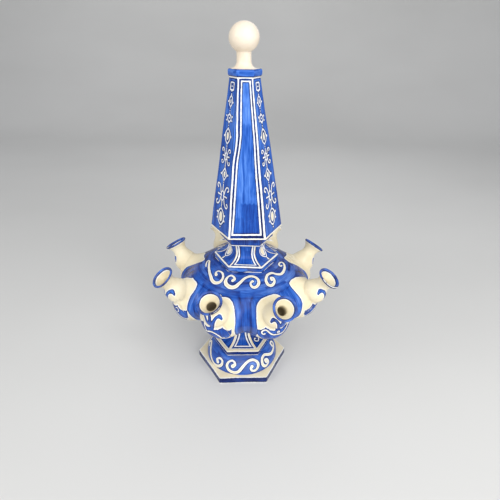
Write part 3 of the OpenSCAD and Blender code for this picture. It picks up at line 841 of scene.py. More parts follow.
# boss: scalloped border (degrees from the middle, height on the boss), from side to side
SCALLOP = [(-55, 3.0), (-43, 1.4), (-28, 7.4), (-8, 2.4), (0, 5.0), (8, 2.4), (28, 7.4), (43, 1.4), (55, 3.0)]
SCALLOPS = {
    0: [(-56, 4.0), (-48, 2.0), (-34, 7.0), (-20, 2.5), (-8, 4.6), (2, 1.8), (10, 2.8), (18, 4.6), (26, 7.0), (33, 3.6), (42, 0.8), (51, 1.6)],
    1: [(-56, 3.2), (-49, 2.4), (-41, 4.4), (-33, 8.2), (-26, 5.9), (-17, 3.4), (-6, 2.8), (4, 5.0), (14, 3.0), (30, 7.6), (43, 1.6), (55, 3.0)],
    2: [(-54, -0.8), (-47, -0.2), (-38, 1.6), (-28, 7.6), (-20, 3.0), (-8, 2.2), (0, 5.0), (8, 2.4), (28, 7.4), (43, 1.4), (55, 3.0)],
    7: [(-55, 3.0), (-43, 1.4), (-28, 7.4), (-8, 2.4), (0, 5.0), (14, 5.0), (26, 8.6), (33, 5.8), (42, 3.6), (52, 3.8), (60, 5.0)],
}
BAND = [(-56, -14.0, 1.1), (-43, -15.3, 1.15), (-30, -11.2, 1.2), (-19, -6.0, 1.2), (-8, -3.6, 1.15), (0, -3.2, 1.1),
        (8, -3.6, 1.15), (19, -6.0, 1.2), (30, -11.2, 1.2), (43, -15.3, 1.15), (56, -14.0, 1.1)]
BANDS = {
    0: [(-58, -6.0, 1.0), (-40, -9.6, 1.1), (-23, -8.2, 1.2), (-8, -4.4, 1.2), (4, -4.8, 1.2), (17, -10.2, 1.25), (25, -18.0, 1.2),
        (34, -21.0, 1.1), (44, -18.6, 1.1), (51, -14.0, 1.1), (54, -8.0, 1.0)],
    1: [(62, 9.0, 1.0), (50, 6.4, 1.1), (39, 3.1, 1.15), (29, -2.3, 1.2), (17, -6.8, 1.25), (1, -6.6, 1.2), (-13, -5.2, 1.2),
        (-22, -1.2, 1.15), (-30, 3.0, 1.1), (-38, 2.4, 1.05), (-43, -1.8, 1.0), (-39, -5.4, 1.0), (-34, -3.4, 1.0)],
}


def spout(i):
    name, az = SPOUTS[i][:2]
    fr = FRAMES[i]
    M, d, under, side, out, B, r0 = fr
    rng = np.random.RandomState(100 + i)
    n = 192
    phi = TAU * np.arange(n) / n
    c, sn = np.cos(phi), np.sin(phi)
    flat = c[:, None] * under + sn[:, None] * side
    # inside first: throat, funnel, lip, then down the outside
    inner = [(34.0, 6.4), (28.0, 6.5), (22.0, 6.6), (17.0, 6.65), (14.0, 6.7), (12.4, 6.8), (11.2, 7.15), (10.3, 7.75)]
    inner += [(10.3 - 9.4 * k / 14, 7.75 + 6.75 * (k / 14) ** 0.96) for k in range(1, 15)]
    lip = [(0.45, 14.95), (0.15, 15.4), (0.02, 15.9), (0.12, 16.4), (0.45, 16.9), (0.95, 17.2), (1.5, 17.3), (2.1, 17.26)]
    known = np.array(inner + lip)
    P0 = M - known[:, 0][:, None, None] * d + known[:, 1][:, None, None] * flat[None]
    # outside: look for the skin along rays from the middle line of the spout
    n_fan = 84
    t0 = np.concatenate([np.arange(2.8, 37.0, 0.8), np.linspace(37, 43, 12), np.full(n_fan, 43.0)])
    th = np.concatenate([np.full(len(t0) - 12 - n_fan, 90.0), np.linspace(90, 98, 12), np.linspace(99.2, 168, n_fan)])
    t0, th = t0[:, None] + 0 * phi, th[:, None] + 0 * phi

    def gap(Q):
        fs, fb = spout_field(Q, fr), belly_field(Q)
        return np.maximum(join(fs, fb, SOFT) + 0.02 * np.maximum(0, fs - 3.5) ** 2, -(fb + 3.0))

    def look(t0, th):
        O = M - t0[..., None] * d
        thr = np.radians(th)[..., None]
        dirs = np.cos(thr) * d + np.sin(thr) * flat[None]
        lo = np.full(th.shape, 1.0)
        found = np.zeros(th.shape, bool)
        for a in np.arange(1.0, 80.0, 1.0):
            rest = ~found
            if not rest.any():
                break
            f = np.full(found.shape, -1.0)
            f[rest] = gap((O + a * dirs)[rest])
            found |= (f > 0) & rest
            lo = np.where(found, lo, a)
        hi = lo + 1.0
        for _ in range(11):
            mid = (lo + hi) / 2
            f = gap(O + mid[..., None] * dirs)
            lo, hi = np.where(f > 0, lo, mid), np.where(f > 0, mid, hi)
        return O + lo[..., None] * dirs

    rough = look(t0, th)
    run = np.vstack([np.zeros(n), np.cumsum(np.linalg.norm(np.diff(rough, axis=0), axis=2), axis=0)])
    even = np.linspace(0, 1, len(t0))
    for j in range(n):
        at = even * run[-1, j]
        t0[:, j], th[:, j] = np.interp(at, run[:, j], t0[:, j].copy()), np.interp(at, run[:, j], th[:, j].copy())
    P = np.concatenate([P0, look(t0, th)])
    T = -((P - M) @ d)
    ax = M - T[..., None] * d
    uneven = 1 + 0.012 * np.sin(2 * phi + rng.rand() * TAU) + 0.008 * np.sin(3 * phi + rng.rand() * TAU)
    k = (uneven[None] - 1) * (1 - smooth(24, 40, T)) + 1
    P = ax + (P - ax) * k[..., None]
    R = np.linalg.norm(P - ax, axis=2)
    # way along the skin from the crest of the lip, negative inside
    dl = np.hypot(np.diff(known[:, 0]), np.diff(known[:, 1]))
    way = np.concatenate([[0], np.cumsum(dl)])
    way = way - way[len(inner) + 2]
    W = np.concatenate([way[:, None] + 0 * phi, way[-1] + (t0 - t0[0]) + 0.9])
    outside = (np.arange(len(P)) >= len(inner) + 2)[:, None] & (R > -1)
    ph = (phi + math.pi) % TAU - math.pi
    X = R * ph[None]

    # lip: a wash between two darker lines
    w0 = {2: -4.4, 6: -4.8}.get(i, -3.9) + 0.25 * np.sin(2 * ph + 2 * i)[None]
    w1 = {4: 1.4, 5: 1.4, 2: 4.0, 6: 4.3}.get(i, 3.4) + 0.35 * np.sin(2 * ph + i)[None]
    ring = np.clip(np.minimum(W - w0, w1 - W), -FAR, FAR)
    # here and there a white streak lies in the wash just outside the crest of the lip; on the rear right spout it is a
    # painted highlight
    mid, span, half = {2: (-70, 75, 0.46), 0: (55, 40, 0.34), 3: (-10, 60, 0.46), 6: (40, 60, 0.34)}.get(i, (180, 30, -FAR))
    turn = np.abs((np.degrees(ph) - mid + 180) % 360 - 180)[None]
    ring = np.minimum(ring, np.abs(W - 0.8) - half + 2.0 * smooth(span * 0.6, span, turn))
    # the painted underside of the head: a stem with two hooked arms
    k = 0.96 + 0.08 * rng.rand()
    arm = ARM * [k * (1.2 if i in (2, 7) else 1.0), 1, 1]
    arm[:, 1] += rng.rand() * 1.2 - 0.6
    if i == 2:
        arm[:, 1] -= 2.6
    motif = np.minimum(brush(X, T, arm), brush(-X, T, arm))
    stem = spline([(0.4, 3.0, 2.8), (0.5, 10, 2.3), (0.2, 18, 2.2), (0.2, 26, 2.7), (0, 33, 3.6), (-0.6, 39, 4.0), (-1.0, 46, 2.6)])
    motif = np.minimum(motif, brush(X, T, stem))
    v = P - B
    off = np.linalg.norm(v, axis=2) - BOSS_R
    on_boss = (off < 1.1) & outside & (v @ out > -6)
    motif = np.where(outside & (T < 47), motif, FAR)
    # the boss: blue below a scalloped border, with a banded scroll
    al = np.degrees(np.arctan2(v @ side, v @ out))
    lat = BOSS_R * np.arcsin(np.clip(v[..., 2] / (BOSS_R + off), -1, 1))
    bx = BOSS_R * np.radians(al)
    sc = np.array(SCALLOPS.get(i, SCALLOP), float)
    border = []
    for p, q in zip(sc[:-1], sc[1:]):
        border += [(p[0] + (q[0] - p[0]) * u, p[1] + (q[1] - p[1]) * u - 0.9 * math.sin(math.pi * u)) for u in np.linspace(0, 1, 6)[:-1]]
    border.append(tuple(sc[-1]))
    border = np.array(border)
    border = np.vstack([border, [(sc[-1][0] + 0.5, -7), (sc[-1][0] - 4, -15), (sc[-1][0] - 14, -23), (0, -27),
                                 (sc[0][0] + 14, -23), (sc[0][0] + 4, -15), (sc[0][0] - 0.5, -7)]])
    zone = -outline(bx, lat, border * [BOSS_R * math.pi / 180, 1])
    band = brush(bx, lat, spline(np.array(BANDS.get(i, BAND)) * [BOSS_R * math.pi / 180, 1, 1], 5))
    if i == 0:
        band = np.minimum(band, line_of(dot(bx, lat, 30 * math.radians(30), -16.2, 1.7), 0.55))
        band = np.minimum(band, brush(bx, lat, spline(np.array([(-31, 9, 0.8), (-29, 5, 0.9), (-26, -1.3, 0.9), (-22, -6.5, 0.8)]) * [BOSS_R * math.pi / 180, 1, 1], 4)))
    if i == 1:
        band = np.minimum(band, line_of(dot(bx, lat, 30 * math.radians(2), -2.0, 1.7), 0.6))
    if i == 7:
        curl = [(19, 1.6, 0.5), (25, 4.0, 0.6), (31, 1.6, 0.6), (30, -2.2, 0.6), (25, -2.6, 0.6)]
        band = np.minimum(band, brush(bx, lat, spline(np.array(curl) * [BOSS_R * math.pi / 180, 1, 1], 5)))
    if i == 2:
        curl = [(-44, -5.0, 0.25), (-36, -1.4, 0.4), (-29, 2.4, 0.3)]
        band = np.minimum(band, brush(bx, lat, spline(np.array(curl) * [BOSS_R * math.pi / 180, 1, 1], 5)))
    zone = np.where(on_boss, np.minimum(zone, band), -FAR)
    head = np.maximum(np.maximum(-FAR, ring), np.where(on_boss & (zone > -2), -FAR, -motif))
    head = np.maximum(head, np.where(off < 1.4, np.minimum(-motif, band), -FAR))
    own = np.maximum(head, np.clip(zone, -FAR, FAR))
    tone = 0.40 + 0.18 * lanes(X, T, 60 + i, 3.4, 17)
    tone = np.where(np.abs(W) < 5.8, 0.38 - 0.40 * (1 - smooth(0.7, 1.6, ring)) + 0.13 * np.sin(3 * ph + i)[None] + 0.09 * np.sin(7 * ph + 2 * i)[None], tone)
    tone = np.where(on_boss, 0.33 + 0.14 * lanes(bx + lat * 0.4, lat, 160 + i, 5.0, 12), tone)
    # beyond the reserve the belly's own blue begins
    fb = belly_field(P)
    near = outside & (fb < 14.0) & (T > 25)
    F, st0, st1 = own.copy(), X.copy(), T.copy()
    st2 = np.where(np.abs(W) < 5.8, 0.14 * smooth(0.9, 1.6, ring), np.where(on_boss, 0.02, 0.04))
    bF, bt, b0, b1, b2, _ = belly_paint(P[near])
    bF = np.minimum(bF, np.minimum(0.9 * (T[near] - 27.5), 0.8 * (11.5 - fb[near])))
    win = bF > own[near]
    F[near] = np.maximum(own[near], bF)
    tone[near] = np.where(win, bt, tone[near])
    st0[near] = np.where(win, b0, st0[near])
    st1[near] = np.where(win, b1, st1[near])
    st2[near] = np.where(win, b2, st2[near])
    F = along_skin(np.clip(F, -FAR, FAR), P, len(known) + 4)
    # deep in each throat the glaze gives way to unglazed earthenware, painted dark brown as the painted shade of the
    # hole; the depth differs from spout to spout
    bare_shaded = {0: 11.6, 1: 15.8}.get(i, 19.0)
    clay_and_shade = np.where(outside, 0.0, smooth(bare_shaded, bare_shaded + 2.4, T) * 0.95)
    # painted shade: a thin dark line along the crease between the head and the root, heavier on the right and rear
    # right spouts
    bulb, root = spout_parts(P, fr)[:2]
    crease_shade = np.exp(-((bulb - root) / 0.8) ** 2) * (np.maximum(bulb, root) < 2.0) * (T > 20) * (F < -1.0)
    clay_and_shade = np.where(outside, (0.34 if i in (2, 3) else 0.16) * crease_shade, clay_and_shade)
    add_piece("spout_" + name, P, "vase", ["spout_" + name], M_BLUE, np.clip(F, -FAR, FAR), tone, (st0, st1, st2), clay_and_shade,
              wide=np.where(np.abs(band) < 2.6, np.where(on_boss, 0.0, 0.9), 0.9))


for i in range(8):
    spout(i)

# ---------------------------------------------------------- belly and shoulder

zs = np.interp(np.linspace(PW[-1], 0, 1200), PW, PZ)
skin = evenly(np.stack([belly_radius(zs), zs], 1), 0.86)
inside = evenly(np.stack([np.maximum(belly_radius(zs) - 7, 14), np.clip(zs, 107, 190)], 1)[::-1], 7.0)
rows = np.vstack([skin, [(30, 197.0), (18, 197.0), (18, 190.2)], inside, [(13, 107), (13, 99.6), (27, 99.6)]])
P, c = turned(rows, 640)
n_skin = len(skin)
out = (np.arange(len(rows)) < n_skin)[:, None] & (c["R"] > -1)

# the belly swells softly into each spout, and dips below its skin there
dz = np.gradient(skin[:, 1])
dr = np.gradient(skin[:, 0])
nrm = np.stack([dz, -dr], 1) / np.hypot(dz, dr)[:, None]
N = np.zeros(P.shape)
cs = np.cos(np.radians(c["az"][:n_skin] - 90))
sn = np.sin(np.radians(c["az"][:n_skin] - 90))
N[:n_skin] = np.stack([nrm[:, 0][:, None] * cs, nrm[:, 0][:, None] * sn, nrm[:, 1][:, None] + 0 * cs], 2)


def spout_gap(Q):
    D = np.full(Q.shape[:-1], 1e3)
    for fr in FRAMES:
        m = (Q @ fr[4]) > 40
        D[m] = np.minimum(D[m], spout_field(Q[m], fr))
    return D


D = spout_gap(P)
m = out & (D < SOFT)
Q, NQ = P[m], N[m]
lo_, hi_ = np.full(len(Q), -2.0), np.full(len(Q), 8.0)
for _ in range(13):
    mid = (lo_ + hi_) / 2
    f = spout_gap(Q + mid[:, None] * NQ)
    f = join(f, mid, SOFT) + 0.02 * np.maximum(0, 3.5 - f) ** 2
    lo_, hi_ = np.where(f > 0, lo_, mid), np.where(f > 0, mid, hi_)
# deep under a spout the wall stays where it is
keep = smooth(-9.0, -4.0, D[m])
P[m] = Q + (lo_ * keep - 1.5 * (1 - keep))[:, None] * NQ
F, tone = np.full(out.shape, -FAR), np.full(out.shape, 0.4)
st0, st1 = np.zeros(out.shape), np.zeros(out.shape)
st2, wide = np.zeros(out.shape), np.ones(out.shape)
F[:n_skin], tone[:n_skin], st0[:n_skin], st1[:n_skin], st2[:n_skin], wide[:n_skin] = belly_paint(P[:n_skin])
F[:n_skin] = along_skin(np.clip(F[:n_skin], -FAR, FAR), P[:n_skin])
clay_and_shade = np.where(out, 0.0, 0.45)
add_piece("belly", P, "vase", ["belly_bowl", "shoulder_dome"], M_BLUE, F, tone, (st0, st1, st2), clay_and_shade, ring=True, wide=wide)

# -------------------------------------------------------------------- flange

rows = profile([(18, 197.0, 0, 8), (48.5, 197.0, 0.8, 0.7), (48.5, 206.5, 1.3, 1.2), (18, 206.5, 0, 4)])
hexy = np.where(rows[:, 0] < 18.5, 0.0, 1.0)
P, c = hexagon(rows, NECK_TURN, 0.0, rho=1.6, n_flat=56, hexness=hexy)
broken = 198.0 + 0.7 * np.sin(c["s"] / 7.5 + 2.1 * c["face"]) + 0.5 * np.sin(c["s"] / 3.1)
F = np.where(c["R"] > 46.6, np.minimum(c["z"] - broken, 205.1 - c["z"]), -2.0)
F = np.where((c["z"] < 198) & (c["R"] < 47.5), -1.5, F)
tone = 0.50 + 0.28 * lanes(c["z"], c["s"] + 66 * c["face"], 61, 4.2, 13) - 0.12 * smooth(203, 205, c["z"])
add_piece("neck_flange", P, "vase", ["neck_flange"], M_BLUE, F, tone, (c["z"] * 1.5, c["s"], 0.10 + 0.2 * np.sin(c["s"] / 5.3 + c["face"])), ring=True)

# ---------------------------------------------------------------------- neck

prof = flare(12.5, 47.5, 27.3, 29.5, 3.5, 206.5, 0.7)
rows = np.vstack([[(46.8, 206.1)], prof, [(30.8, 236.4), (18, 236.4), (18, 228), (18, 216), (18, 206.1)]])
hexy = np.where(rows[:, 0] < 18.5, 0.0, 1.0)
P, c = hexagon(rows, NECK_TURN, 0.0, rho=1.3, n_flat=46, hexness=hexy)
l = (arc_length(rows) - arc_length(rows)[1])[:, None] + 0 * c["s"]
A = c["face"] % 2 == 0
e, s = c["e"], c["s"]
end = l[1 + len(prof)]
Fa = np.minimum(e - 2.2, l - 1.2)
back = (c["face"] == 2) | (c["face"] == 4)
Fa = np.where(back, np.minimum(e + 0.3, l - 0.4), Fa)
inner = np.minimum(e - 5.8 + 1.5 * smooth(8, 30, l), l - 5.2)
Fa = np.where(back, Fa, np.minimum(Fa, line_of(inner, 1.0)))
Fb = np.minimum(e + 0.3, l - 1.2)
behind = ((c["face"] == 1) & (s > 0)) | ((c["face"] == 5) & (s < 0)) | (c["face"] == 3)
Fb = np.where(behind, np.minimum(Fb, e - 1.5), Fb)
for d in (1, 3, 5):
    m = (c["face"] == d)
    g = 1 if d != 5 else -1
    # a leaf with a cream heart and a beaded tail
    ca, sa = math.cos(math.radians(-7 * g)), math.sin(math.radians(-7 * g))
    u, v = (s - 5.2 * g) * ca + (l - 20.8) * sa, -(s - 5.2 * g) * sa + (l - 20.8) * ca
    fd = np.minimum(line_of(almond(u, v, 0, 0, 6.2, 11.4), 0.85), oval(u, v, 0, 0.4, 4.2, 7.8))
    fd = np.minimum(fd, dot(u, v, 0, -14.0, 1.4))
    fd = np.minimum(fd, dot(u, v, -0.6 * g, -17.0, 1.7))
    Fb = np.where(m, np.minimum(Fb, fd), Fb)
F = np.where(A, Fa, Fb)
wall = (np.arange(len(rows)) > len(prof))[:, None] & (e > -1)
F = np.where(wall, -FAR, F)
tone = 0.41 + 0.15 * lanes(s + 60 * c["face"], l, 71, 5.4, 19) + np.where(A, 0.08 * smooth(30, 12, l), 0.0)
clay_and_shade = np.where(wall, 0.3, 0.0)
add_piece("neck", P, "vase", ["neck"], M_BLUE, F, tone, (s, l, -0.12), clay_and_shade, ring=True)

# -------------------------------------------------------------------- collar

rows = profile([(18, 236.0, 0, 6), (39.5, 236.0, 1.2, 0.8), (39.5, 251.6, 0.7, 3.0), (27.0, 251.6, 0.5, 3.0),
                (27.0, 238.0, 0, 3.0), (18.0, 238.0, 0, 1.0)])
hexy = np.where(rows[:, 0] < 18.5, 0.0, 1.0)
P, c = hexagon(rows, NECK_TURN, 0.0, rho=1.4, n_flat=50, hexness=hexy)
inner = c["R"] < 34
F = np.where(inner, -FAR, c["z"] - 237.5)
F = np.where((c["z"] > 251) & ~inner, 0.8, F)
tone = 0.30 + 0.16 * lanes(c["s"] + 50 * c["face"], c["z"], 81, 4.2, 30) + 0.10 * smooth(244, 238, c["z"])
add_piece("neck_collar", P, "vase", ["neck_collar"], M_DEEP, F, tone, (c["s"], c["z"]),
          np.where(inner, 0.3, 0.0), ring=True)

# ---------------------------------------------------------------- spire plug

rows = profile([(6.0, 240.0, 0, 4), (25.6, 240.0, 1.4, 2.0), (25.6, 252.2, 0, 5), (6.0, 252.2, 0, 3)])
hexy = np.where(rows[:, 0] < 6.5, 0.0, 1.0)
P, c = hexagon(rows, SPIRE_TURN, 0.0, rho=1.8, n_flat=12, hexness=hexy)
add_piece("spire_plug", P, "spire", ["spire_plug"], M_CREAM, np.full(c["s"].shape, -FAR),
          np.full(c["s"].shape, 0.4), (c["s"], c["z"]), np.full(c["s"].shape, 0.25), ring=True)

# --------------------------------------------------------------------- spire

h_rows = np.concatenate([np.linspace(0.5, 4.0, 8), np.linspace(4.9, 198.5, 222), np.linspace(199.1, 201.2, 5)])
body = np.stack([52 - 33 * h_rows / SPIRE_H, Z_SPIRE + h_rows], 1)
rows = np.vstack([[(6.0, 252.05), (34, 252.05), (50.4, 252.05), (51.5, 252.12)], body, [(18.6, 453.5), (17.5, 453.7), (6, 453.7), (6, 448)]])
hexy = np.where(rows[:, 0] < 6.5, 0.0, 1.0)
h = rows[:, 1] - Z_SPIRE
P, c = hexagon(rows, SPIRE_TURN, 0.0, rho=1.5, n_flat=46, n_arc=4, hexness=hexy,
               lean=SPIRE_LEAN * np.clip(h, 0, SPIRE_H) / SPIRE_H)
H = h[:, None] + 0 * c["s"]
s, e, W, k = c["s"], c["e"], c["W"], c["face"]

# painted lines of the front face stray from the arris as they do on the piece
OUT_L = ([0, 8, 28, 55, 81, 99, 109, 116, 124, 135, 150, 177, 202], [1.3, 1.2, 1.1, 1.0, 1.4, 1.4, 2.1, 3.0, 3.9, 4.0, 3.2, 2.0, 1.5])
OUT_R = ([0, 9, 49, 82, 119, 143, 166, 202], [1.6, 1.6, 1.6, 1.6, 1.3, 1.2, 0.9, 0.7])
IN_L = ([0, 11, 28, 55, 81, 99, 109, 120, 135, 150, 177, 202], [5.0, 5.1, 5.5, 5.7, 5.9, 6.1, 6.7, 7.8, 8.5, 7.8, 6.3, 5.4])
IN_R = ([0, 14, 49, 82, 119, 143, 166, 202], [6.8, 6.7, 6.5, 6.0, 5.1, 4.8, 4.3, 3.7])


def along(curve, H):
    return np.interp(H, curve[0], curve[1])


F = np.full(s.shape, FAR)
tone = np.full(s.shape, 0.42)
for f in range(6):
    m = k == f
    x, y, ee, ww = s[m], H[m], e[m], W[m]
    if f % 2 == 0:
        if f == 0:
            co = np.where(x < 0, along(OUT_L, y), along(OUT_R, y))
            ci = np.where(x < 0, along(IN_L, y), along(IN_R, y))
        else:
            rng = np.random.RandomState(300 + f)
            p1, p2, p3 = rng.rand(3) * TAU
            co = 1.4 + 0.35 * np.sin(y / 31 + p1 + np.sign(x))
            ci = 5.9 + 0.55 * np.sin(y / 37 + p2 + np.sign(x)) - 0.6 * y / 200
        taper = 1 - 0.40 * y / SPIRE_H
        Fm = line_of(ee - co, 1.30 * taper)
        inner = np.minimum(np.minimum(ee - ci, y - 7.4), 197.2 - y)
        Fm = np.minimum(Fm, line_of(inner, 1.10 * taper))
        if f == 0:
            sway = x + 0.5 * np.sin(y / 19) + 0.25 * np.sin(y / 7.3)
            rise = y + 0.9 * np.sin(x * 1.15 + 0.6)
            t = 0.53 + strokes(sway, rise, [
                (-30, 30, 149.0, 210, 0.12, 1, 1.2), (-30, -4.4, 31, 149, 0.07, 0.8, 1.2),
                (-4.4, 30, 112, 149, -0.05, 0.6, 8), (-4.8, -3.2, 51, 118, -0.20, 0.5, 7),
                (-2.8, 30, 52, 114, 0.04, 0.8, 6),
                (2.2, 7.5, 70, 92, 0.10, 1.0, 4), (5.2, 30, 60, 104, -0.06, 0.8, 5),
                (-7.4, 30, -9, 49.6, -0.20, 0.7, 0.7), (-30, -7.4, -9, 31, -0.05, 0.7, 0.8),
                (-30, 30, -9, 12, -0.07, 1, 1.5), (-30, -4.6, 60, 120, 0.05, 1.0, 12)])
            t += 0.05 * lanes(x, y, 89, 2.6, 34)
            t -= 0.22 * smooth(0.3, 1.2, ee - co) * (1 - smooth(-1.2, -0.3, inner))
        else:
            t = 0.46 + 0.17 * lanes(x, y, 90 + f, 6.5, 52) + 0.12 * smooth(120, 180, y)
    else:
        Fm = ee + 0.25
        g = -1.0 if f == 5 else 1.0
        u = x * g
        v = y
        add = []
        q = plate(u, v, 0, 191.0, 4.0, 4.2, 1.2)
        add += [line_of(q, 0.75), brush(u, v, [(-1.6, 191, 0.55), (1.6, 191, 0.55)])]
        q = almond(u, v, 0, 174.0, 3.8, 6.2)
        add += [line_of(q, 0.7), oval(u, v, 0, 174.0, 1.1, 2.6), dot(u, v, 5.6, 173.4, 1.1), dot(u, v, -5.6, 173.0, 1.1)]
        q = oval(u, v, 0, 154.2, 4.4, 4.2)
        add += [line_of(q, 0.8), dot(u, v, 0, 154.2, 1.1), dot(u, v, 6.9, 156.6, 1.2), dot(u, v, -6.9, 156.4, 1.2),
                dot(u, v, 6.6, 151.2, 1.0), dot(u, v, -6.6, 151.6, 1.0)]
        q = almond(u, v, 0, 132.6, 6.0, 9.0)
        add += [line_of(q, 0.8), oval(u, v, 0, 132.6, 2.6, 4.8), dot(u, v, 7.8, 132.2, 1.5), dot(u, v, -7.8, 132.8, 1.5)]
        q = lozenge(u, v, 0, 83.8, 6.8, 8.2)
        add += [line_of(q, 0.85), oval(u, v, 0, 83.8, 2.5, 3.6), dot(u, v, 8.8, 83.2, 1.5), dot(u, v, -8.8, 84.2, 1.5)]
        q = almond(u, v, 0, 24.8, 8.0, 11.6)
        add += [line_of(q, 0.95), oval(u, v, 0, 24.8, 4.2, 7.2), dot(u, v, 10.2, 29.0, 1.6), dot(u, v, -10.2, 28.6, 1.6),
                dot(u, v, 9.8, 20.4, 1.4), dot(u, v, -9.8, 20.8, 1.4), dot(u, v, 0, 9.6, 1.3)]
        for cy, kx, ky, lw in ((107.2, 0.74, 0.84, 0.75), (54.6, 1.08, 1.22, 0.9)):
            for gx in (-1, 1):
                for gy in (-1, 1):
                    curl = spline([(2.6, 0.6, lw), (4.4, 3.6, lw), (5.6, 7.2, lw), (8.8, 11.0, lw * 1.1),
                                   (12.6, 11.6, lw), (14.2, 8.8, lw), (12.0, 7.2, lw * 1.25)])
                    cc = curl.copy()
                    cc[:, 0] = gx * curl[:, 0] * kx
                    cc[:, 1] = cy + gy * curl[:, 1] * ky
                    add.append(brush(u, v, cc))
                arm = [(gx * 2.5 * kx, cy, lw * 0.9), (gx * 8.0 * kx, cy + 0.3, lw * 1.1)]
                add.append(brush(u, v, arm))
                add.append(dot(u, v, gx * 10.4 * kx, cy + 0.3, lw * 1.5))
            add.append(line_of(oval(u, v, 0, cy, 3.4 * kx, 5.4 * ky), lw * 0.85))
            add.append(brush(u, v, [(0, cy + 5 * ky, lw), (0, cy + 12.4 * ky, lw * 0.7)]))
            add.append(brush(u, v, [(0, cy - 5 * ky, lw), (0, cy - 12.4 * ky, lw * 0.7)]))
        for y0, y1 in ((37.2, 41.6), (67.6, 75.2), (92.4, 96.6), (117.6, 123.0), (142.4, 148.6), (159.8, 166.0), (182.0, 185.6)):
            n = max(2, int(round((y1 - y0) / 2.7)) + 1)
            for yy in np.linspace(y0, y1, n):
                add.append(dot(u, v, 0, yy, 0.85))
        for q in add:
            Fm = np.minimum(Fm, q)
        t = 0.43 + 0.13 * lanes(x, y, 90 + f, 6.0, 60) + 0.10 * smooth(90, 190, y)
        t += 0.14 * smooth(8, 2, ee) * smooth(105, 125, y) * (1 - smooth(165, 190, y)) * (u < 0)
    Fm = np.minimum(Fm, y - (2.3 if f % 2 == 0 else 3.2))
    Fm = np.minimum(Fm, 200.0 - y)
    F[m], tone[m] = np.minimum(Fm, FAR), t
low = (rows[:, 1] < 252.2)[:, None] & (s > -1e3)
F = np.where(low, -2.0, F)
add_piece("spire", P, "spire", ["spire_floor", "spire_shell"], M_BLUE, F, tone, (s, H, -0.20),
          np.where(low & (c["R"] < 49), 0.3, 0.0), ring=True)

# ----------------------------------------------------------------------- cap

rows = profile([(4, 453.45, 0, 5), (19.6, 453.5, 0.5, 0.5), (21.0, 455.1, 1.0, 0.6), (21.3, 460.2, 1.1, 0.6),
                (19.7, 461.95, 0.6, 1.0), (4, 462.0, 0, 1)])
P, c = hexagon(rows, SPIRE_TURN, SPIRE_LEAN, rho=1.6, n_flat=30)
F = np.minimum(c["z"] - 453.2, (c["R"] - 18.9) + 1e3 * (c["z"] < 458))
F = np.where(c["R"] < 18, -2.5, F)
tone = 0.52 + 0.16 * lanes(c["z"], c["s"] + 40 * c["face"], 95, 2.6, 15) - 0.12 * smooth(456, 454, c["z"])
add_piece("spire_cap", P, "spire", ["spire_cap"], M_BLUE, F, tone, (c["z"] * 1.5, c["s"]))

# -------------------------------------------------------------------- finial

ball_r, ball_v, ball_x = 18.2, 16.7, SPIRE_LEAN - 1.2
zb = 480 + ball_v * math.sqrt(1 - (9 / ball_r) ** 2)
q = np.linspace(0, math.pi / 2, 20)
foot = np.stack([9 + 7.5 * (1 - np.sin(q)), 462 + 8 * (1 - np.cos(q))], 1)
b0 = math.asin(9.0 / ball_r)
b = np.linspace(math.pi - b0, 0.05, 60)
ball = np.stack([ball_r * np.sin(b), zb + ball_v * np.cos(b)], 1)
rows = np.vstack([[(2, 461.6), (16.3, 461.6)], foot, [(9.0, 473), (8.95, 476), (9.0, 479)], ball])
P, c = turned(rows, 96, ball_x)
add_piece("finial", P, "spire", ["finial_stem", "finial_ball"], M_FINIAL, np.full(c["az"].shape, -FAR),
          np.full(c["az"].shape, 0.5), (c["az"], c["z"]))


# ------------------------------------------------------- stage, light, camera

def pale(name, colour_a, colour_b):
    mat = bpy.data.materials.new(name)
    mat.use_nodes = True
    nt = mat.node_tree
    bsdf = nt.nodes["Principled BSDF"]
    tex = nt.nodes.new("ShaderNodeTexNoise")
    tex.inputs["Scale"].default_value = 6.0
    tex.inputs["Detail"].default_value = 3.0
    r = nt.nodes.new("ShaderNodeValToRGB")
    r.color_ramp.elements[0].position, r.color_ramp.elements[1].position = 0.35, 0.65
    r.color_ramp.elements[0].color = colour_a + (1,)
    r.color_ramp.elements[1].color = colour_b + (1,)
    nt.links.new(tex.outputs["Fac"], r.inputs[0])
    nt.links.new(r.outputs[0], bsdf.inputs["Base Color"])
    bsdf.inputs["Roughness"].default_value = 0.6
    return mat


u = np.concatenate([np.linspace(-3.0, 1.6, 24), 1.6 + 0.8 * np.sin(np.linspace(0.1, math.pi / 2, 14)), np.full(8, 2.4)])
w = np.concatenate([np.zeros(24), 0.8 - 0.8 * np.cos(np.linspace(0.1, math.pi / 2, 14)), np.linspace(1.0, 3.4, 8)])
xs = np.linspace(-4, 4, 9)
verts = [(float(x), float(a), float(b)) for a, b in zip(u, w) for x in xs]
faces = [(i * 9 + j, i * 9 + j + 1, i * 9 + j + 10, i * 9 + j + 9) for i in range(len(u) - 1) for j in range(8)]
me = bpy.data.meshes.new("floor")
me.from_pydata(verts, [], faces)
me.polygons.foreach_set("use_smooth", np.ones(len(me.polygons), bool))
me.materials.append(pale("floor_pale", (0.66, 0.66, 0.65), (0.72, 0.72, 0.71)))
floor = bpy.data.objects.new("floor", me)
bpy.context.scene.collection.objects.link(floor)


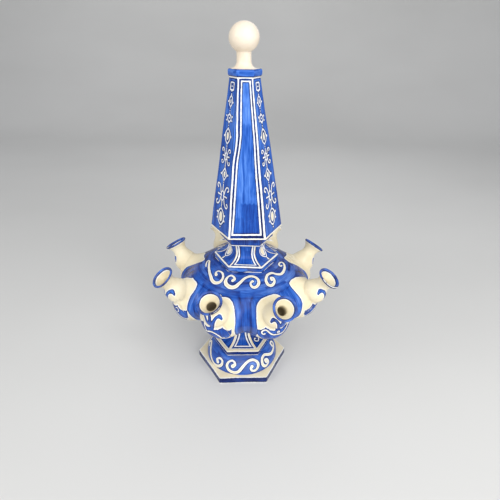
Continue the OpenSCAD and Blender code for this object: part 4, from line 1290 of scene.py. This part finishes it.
def area(name, loc, aim, size, power, colour):
    li = bpy.data.lights.new(name, "AREA")
    li.shape = "DISK"
    li.size, li.energy, li.color = size, power, colour
    ob = bpy.data.objects.new(name, li)
    bpy.context.scene.collection.objects.link(ob)
    z = (np.array(loc) - np.array(aim)) / np.linalg.norm(np.array(loc) - np.array(aim))
    x = np.cross([0, 0, 1.0], z)
    x /= np.linalg.norm(x)
    y = np.cross(z, x)
    ob.matrix_world = Matrix([[x[0], y[0], z[0], loc[0]], [x[1], y[1], z[1], loc[1]], [x[2], y[2], z[2], loc[2]], [0, 0, 0, 1]])
    return ob


area("key", (0.45, -1.25, 1.35), (0, 0, 0.25), 1.50, 14.6, (1.0, 0.985, 0.955))
area("fill", (-0.90, -1.10, 1.00), (0, 0, 0.25), 1.40, 7.8, (1.0, 0.990, 0.970))
area("front", (0.95, -1.20, 0.55), (0, 0, 0.15), 0.90, 6.6, (1.0, 0.990, 0.970))
area("window_right", (0.66, -0.72, 1.36), (0, 0, 0.20), 0.34, 2.2, (1.0, 0.995, 0.985))
area("window_left", (-1.30, -0.56, 0.72), (0, 0, 0.20), 0.34, 2.0, (1.0, 0.995, 0.985))
area("rim", (0.25, 1.30, 1.10), (0, 0, 0.25), 1.20, 1.6, (1.0, 1.0, 1.0))

world = bpy.data.worlds.new("studio")
bpy.context.scene.world = world
world.use_nodes = True
bg = world.node_tree.nodes["Background"]
bg.inputs[0].default_value = (0.95, 0.965, 1.0, 1.0)
bg.inputs[1].default_value = 0.50

cd = bpy.data.cameras.new("camera")
cam = bpy.data.objects.new("camera", cd)
bpy.context.scene.collection.objects.link(cam)
cd.sensor_fit, cd.sensor_width = "HORIZONTAL", 36.0
cd.lens = 377.5 / 500 * 36
cd.shift_x = 0.002
cd.clip_start, cd.clip_end = 0.02, 30.0
pitch, yaw, roll = math.radians(29.23), math.radians(0.81), math.radians(0.91)
fw = np.array([math.sin(yaw) * math.cos(pitch), math.cos(yaw) * math.cos(pitch), -math.sin(pitch)])
rt = np.array([math.cos(yaw), -math.sin(yaw), 0.0])
up = np.cross(rt, fw)
r2 = math.cos(roll) * rt + math.sin(roll) * up
u2 = -math.sin(roll) * rt + math.cos(roll) * up
cam.matrix_world = Matrix([[r2[0], u2[0], -fw[0], -0.0029], [r2[1], u2[1], -fw[1], -0.5038],
                           [r2[2], u2[2], -fw[2], 0.4930 + RAISE * 0.001], [0, 0, 0, 1]])
bpy.context.scene.camera = cam
bpy.context.scene.view_settings.view_transform = "Standard"

bpy.context.view_layer.update()
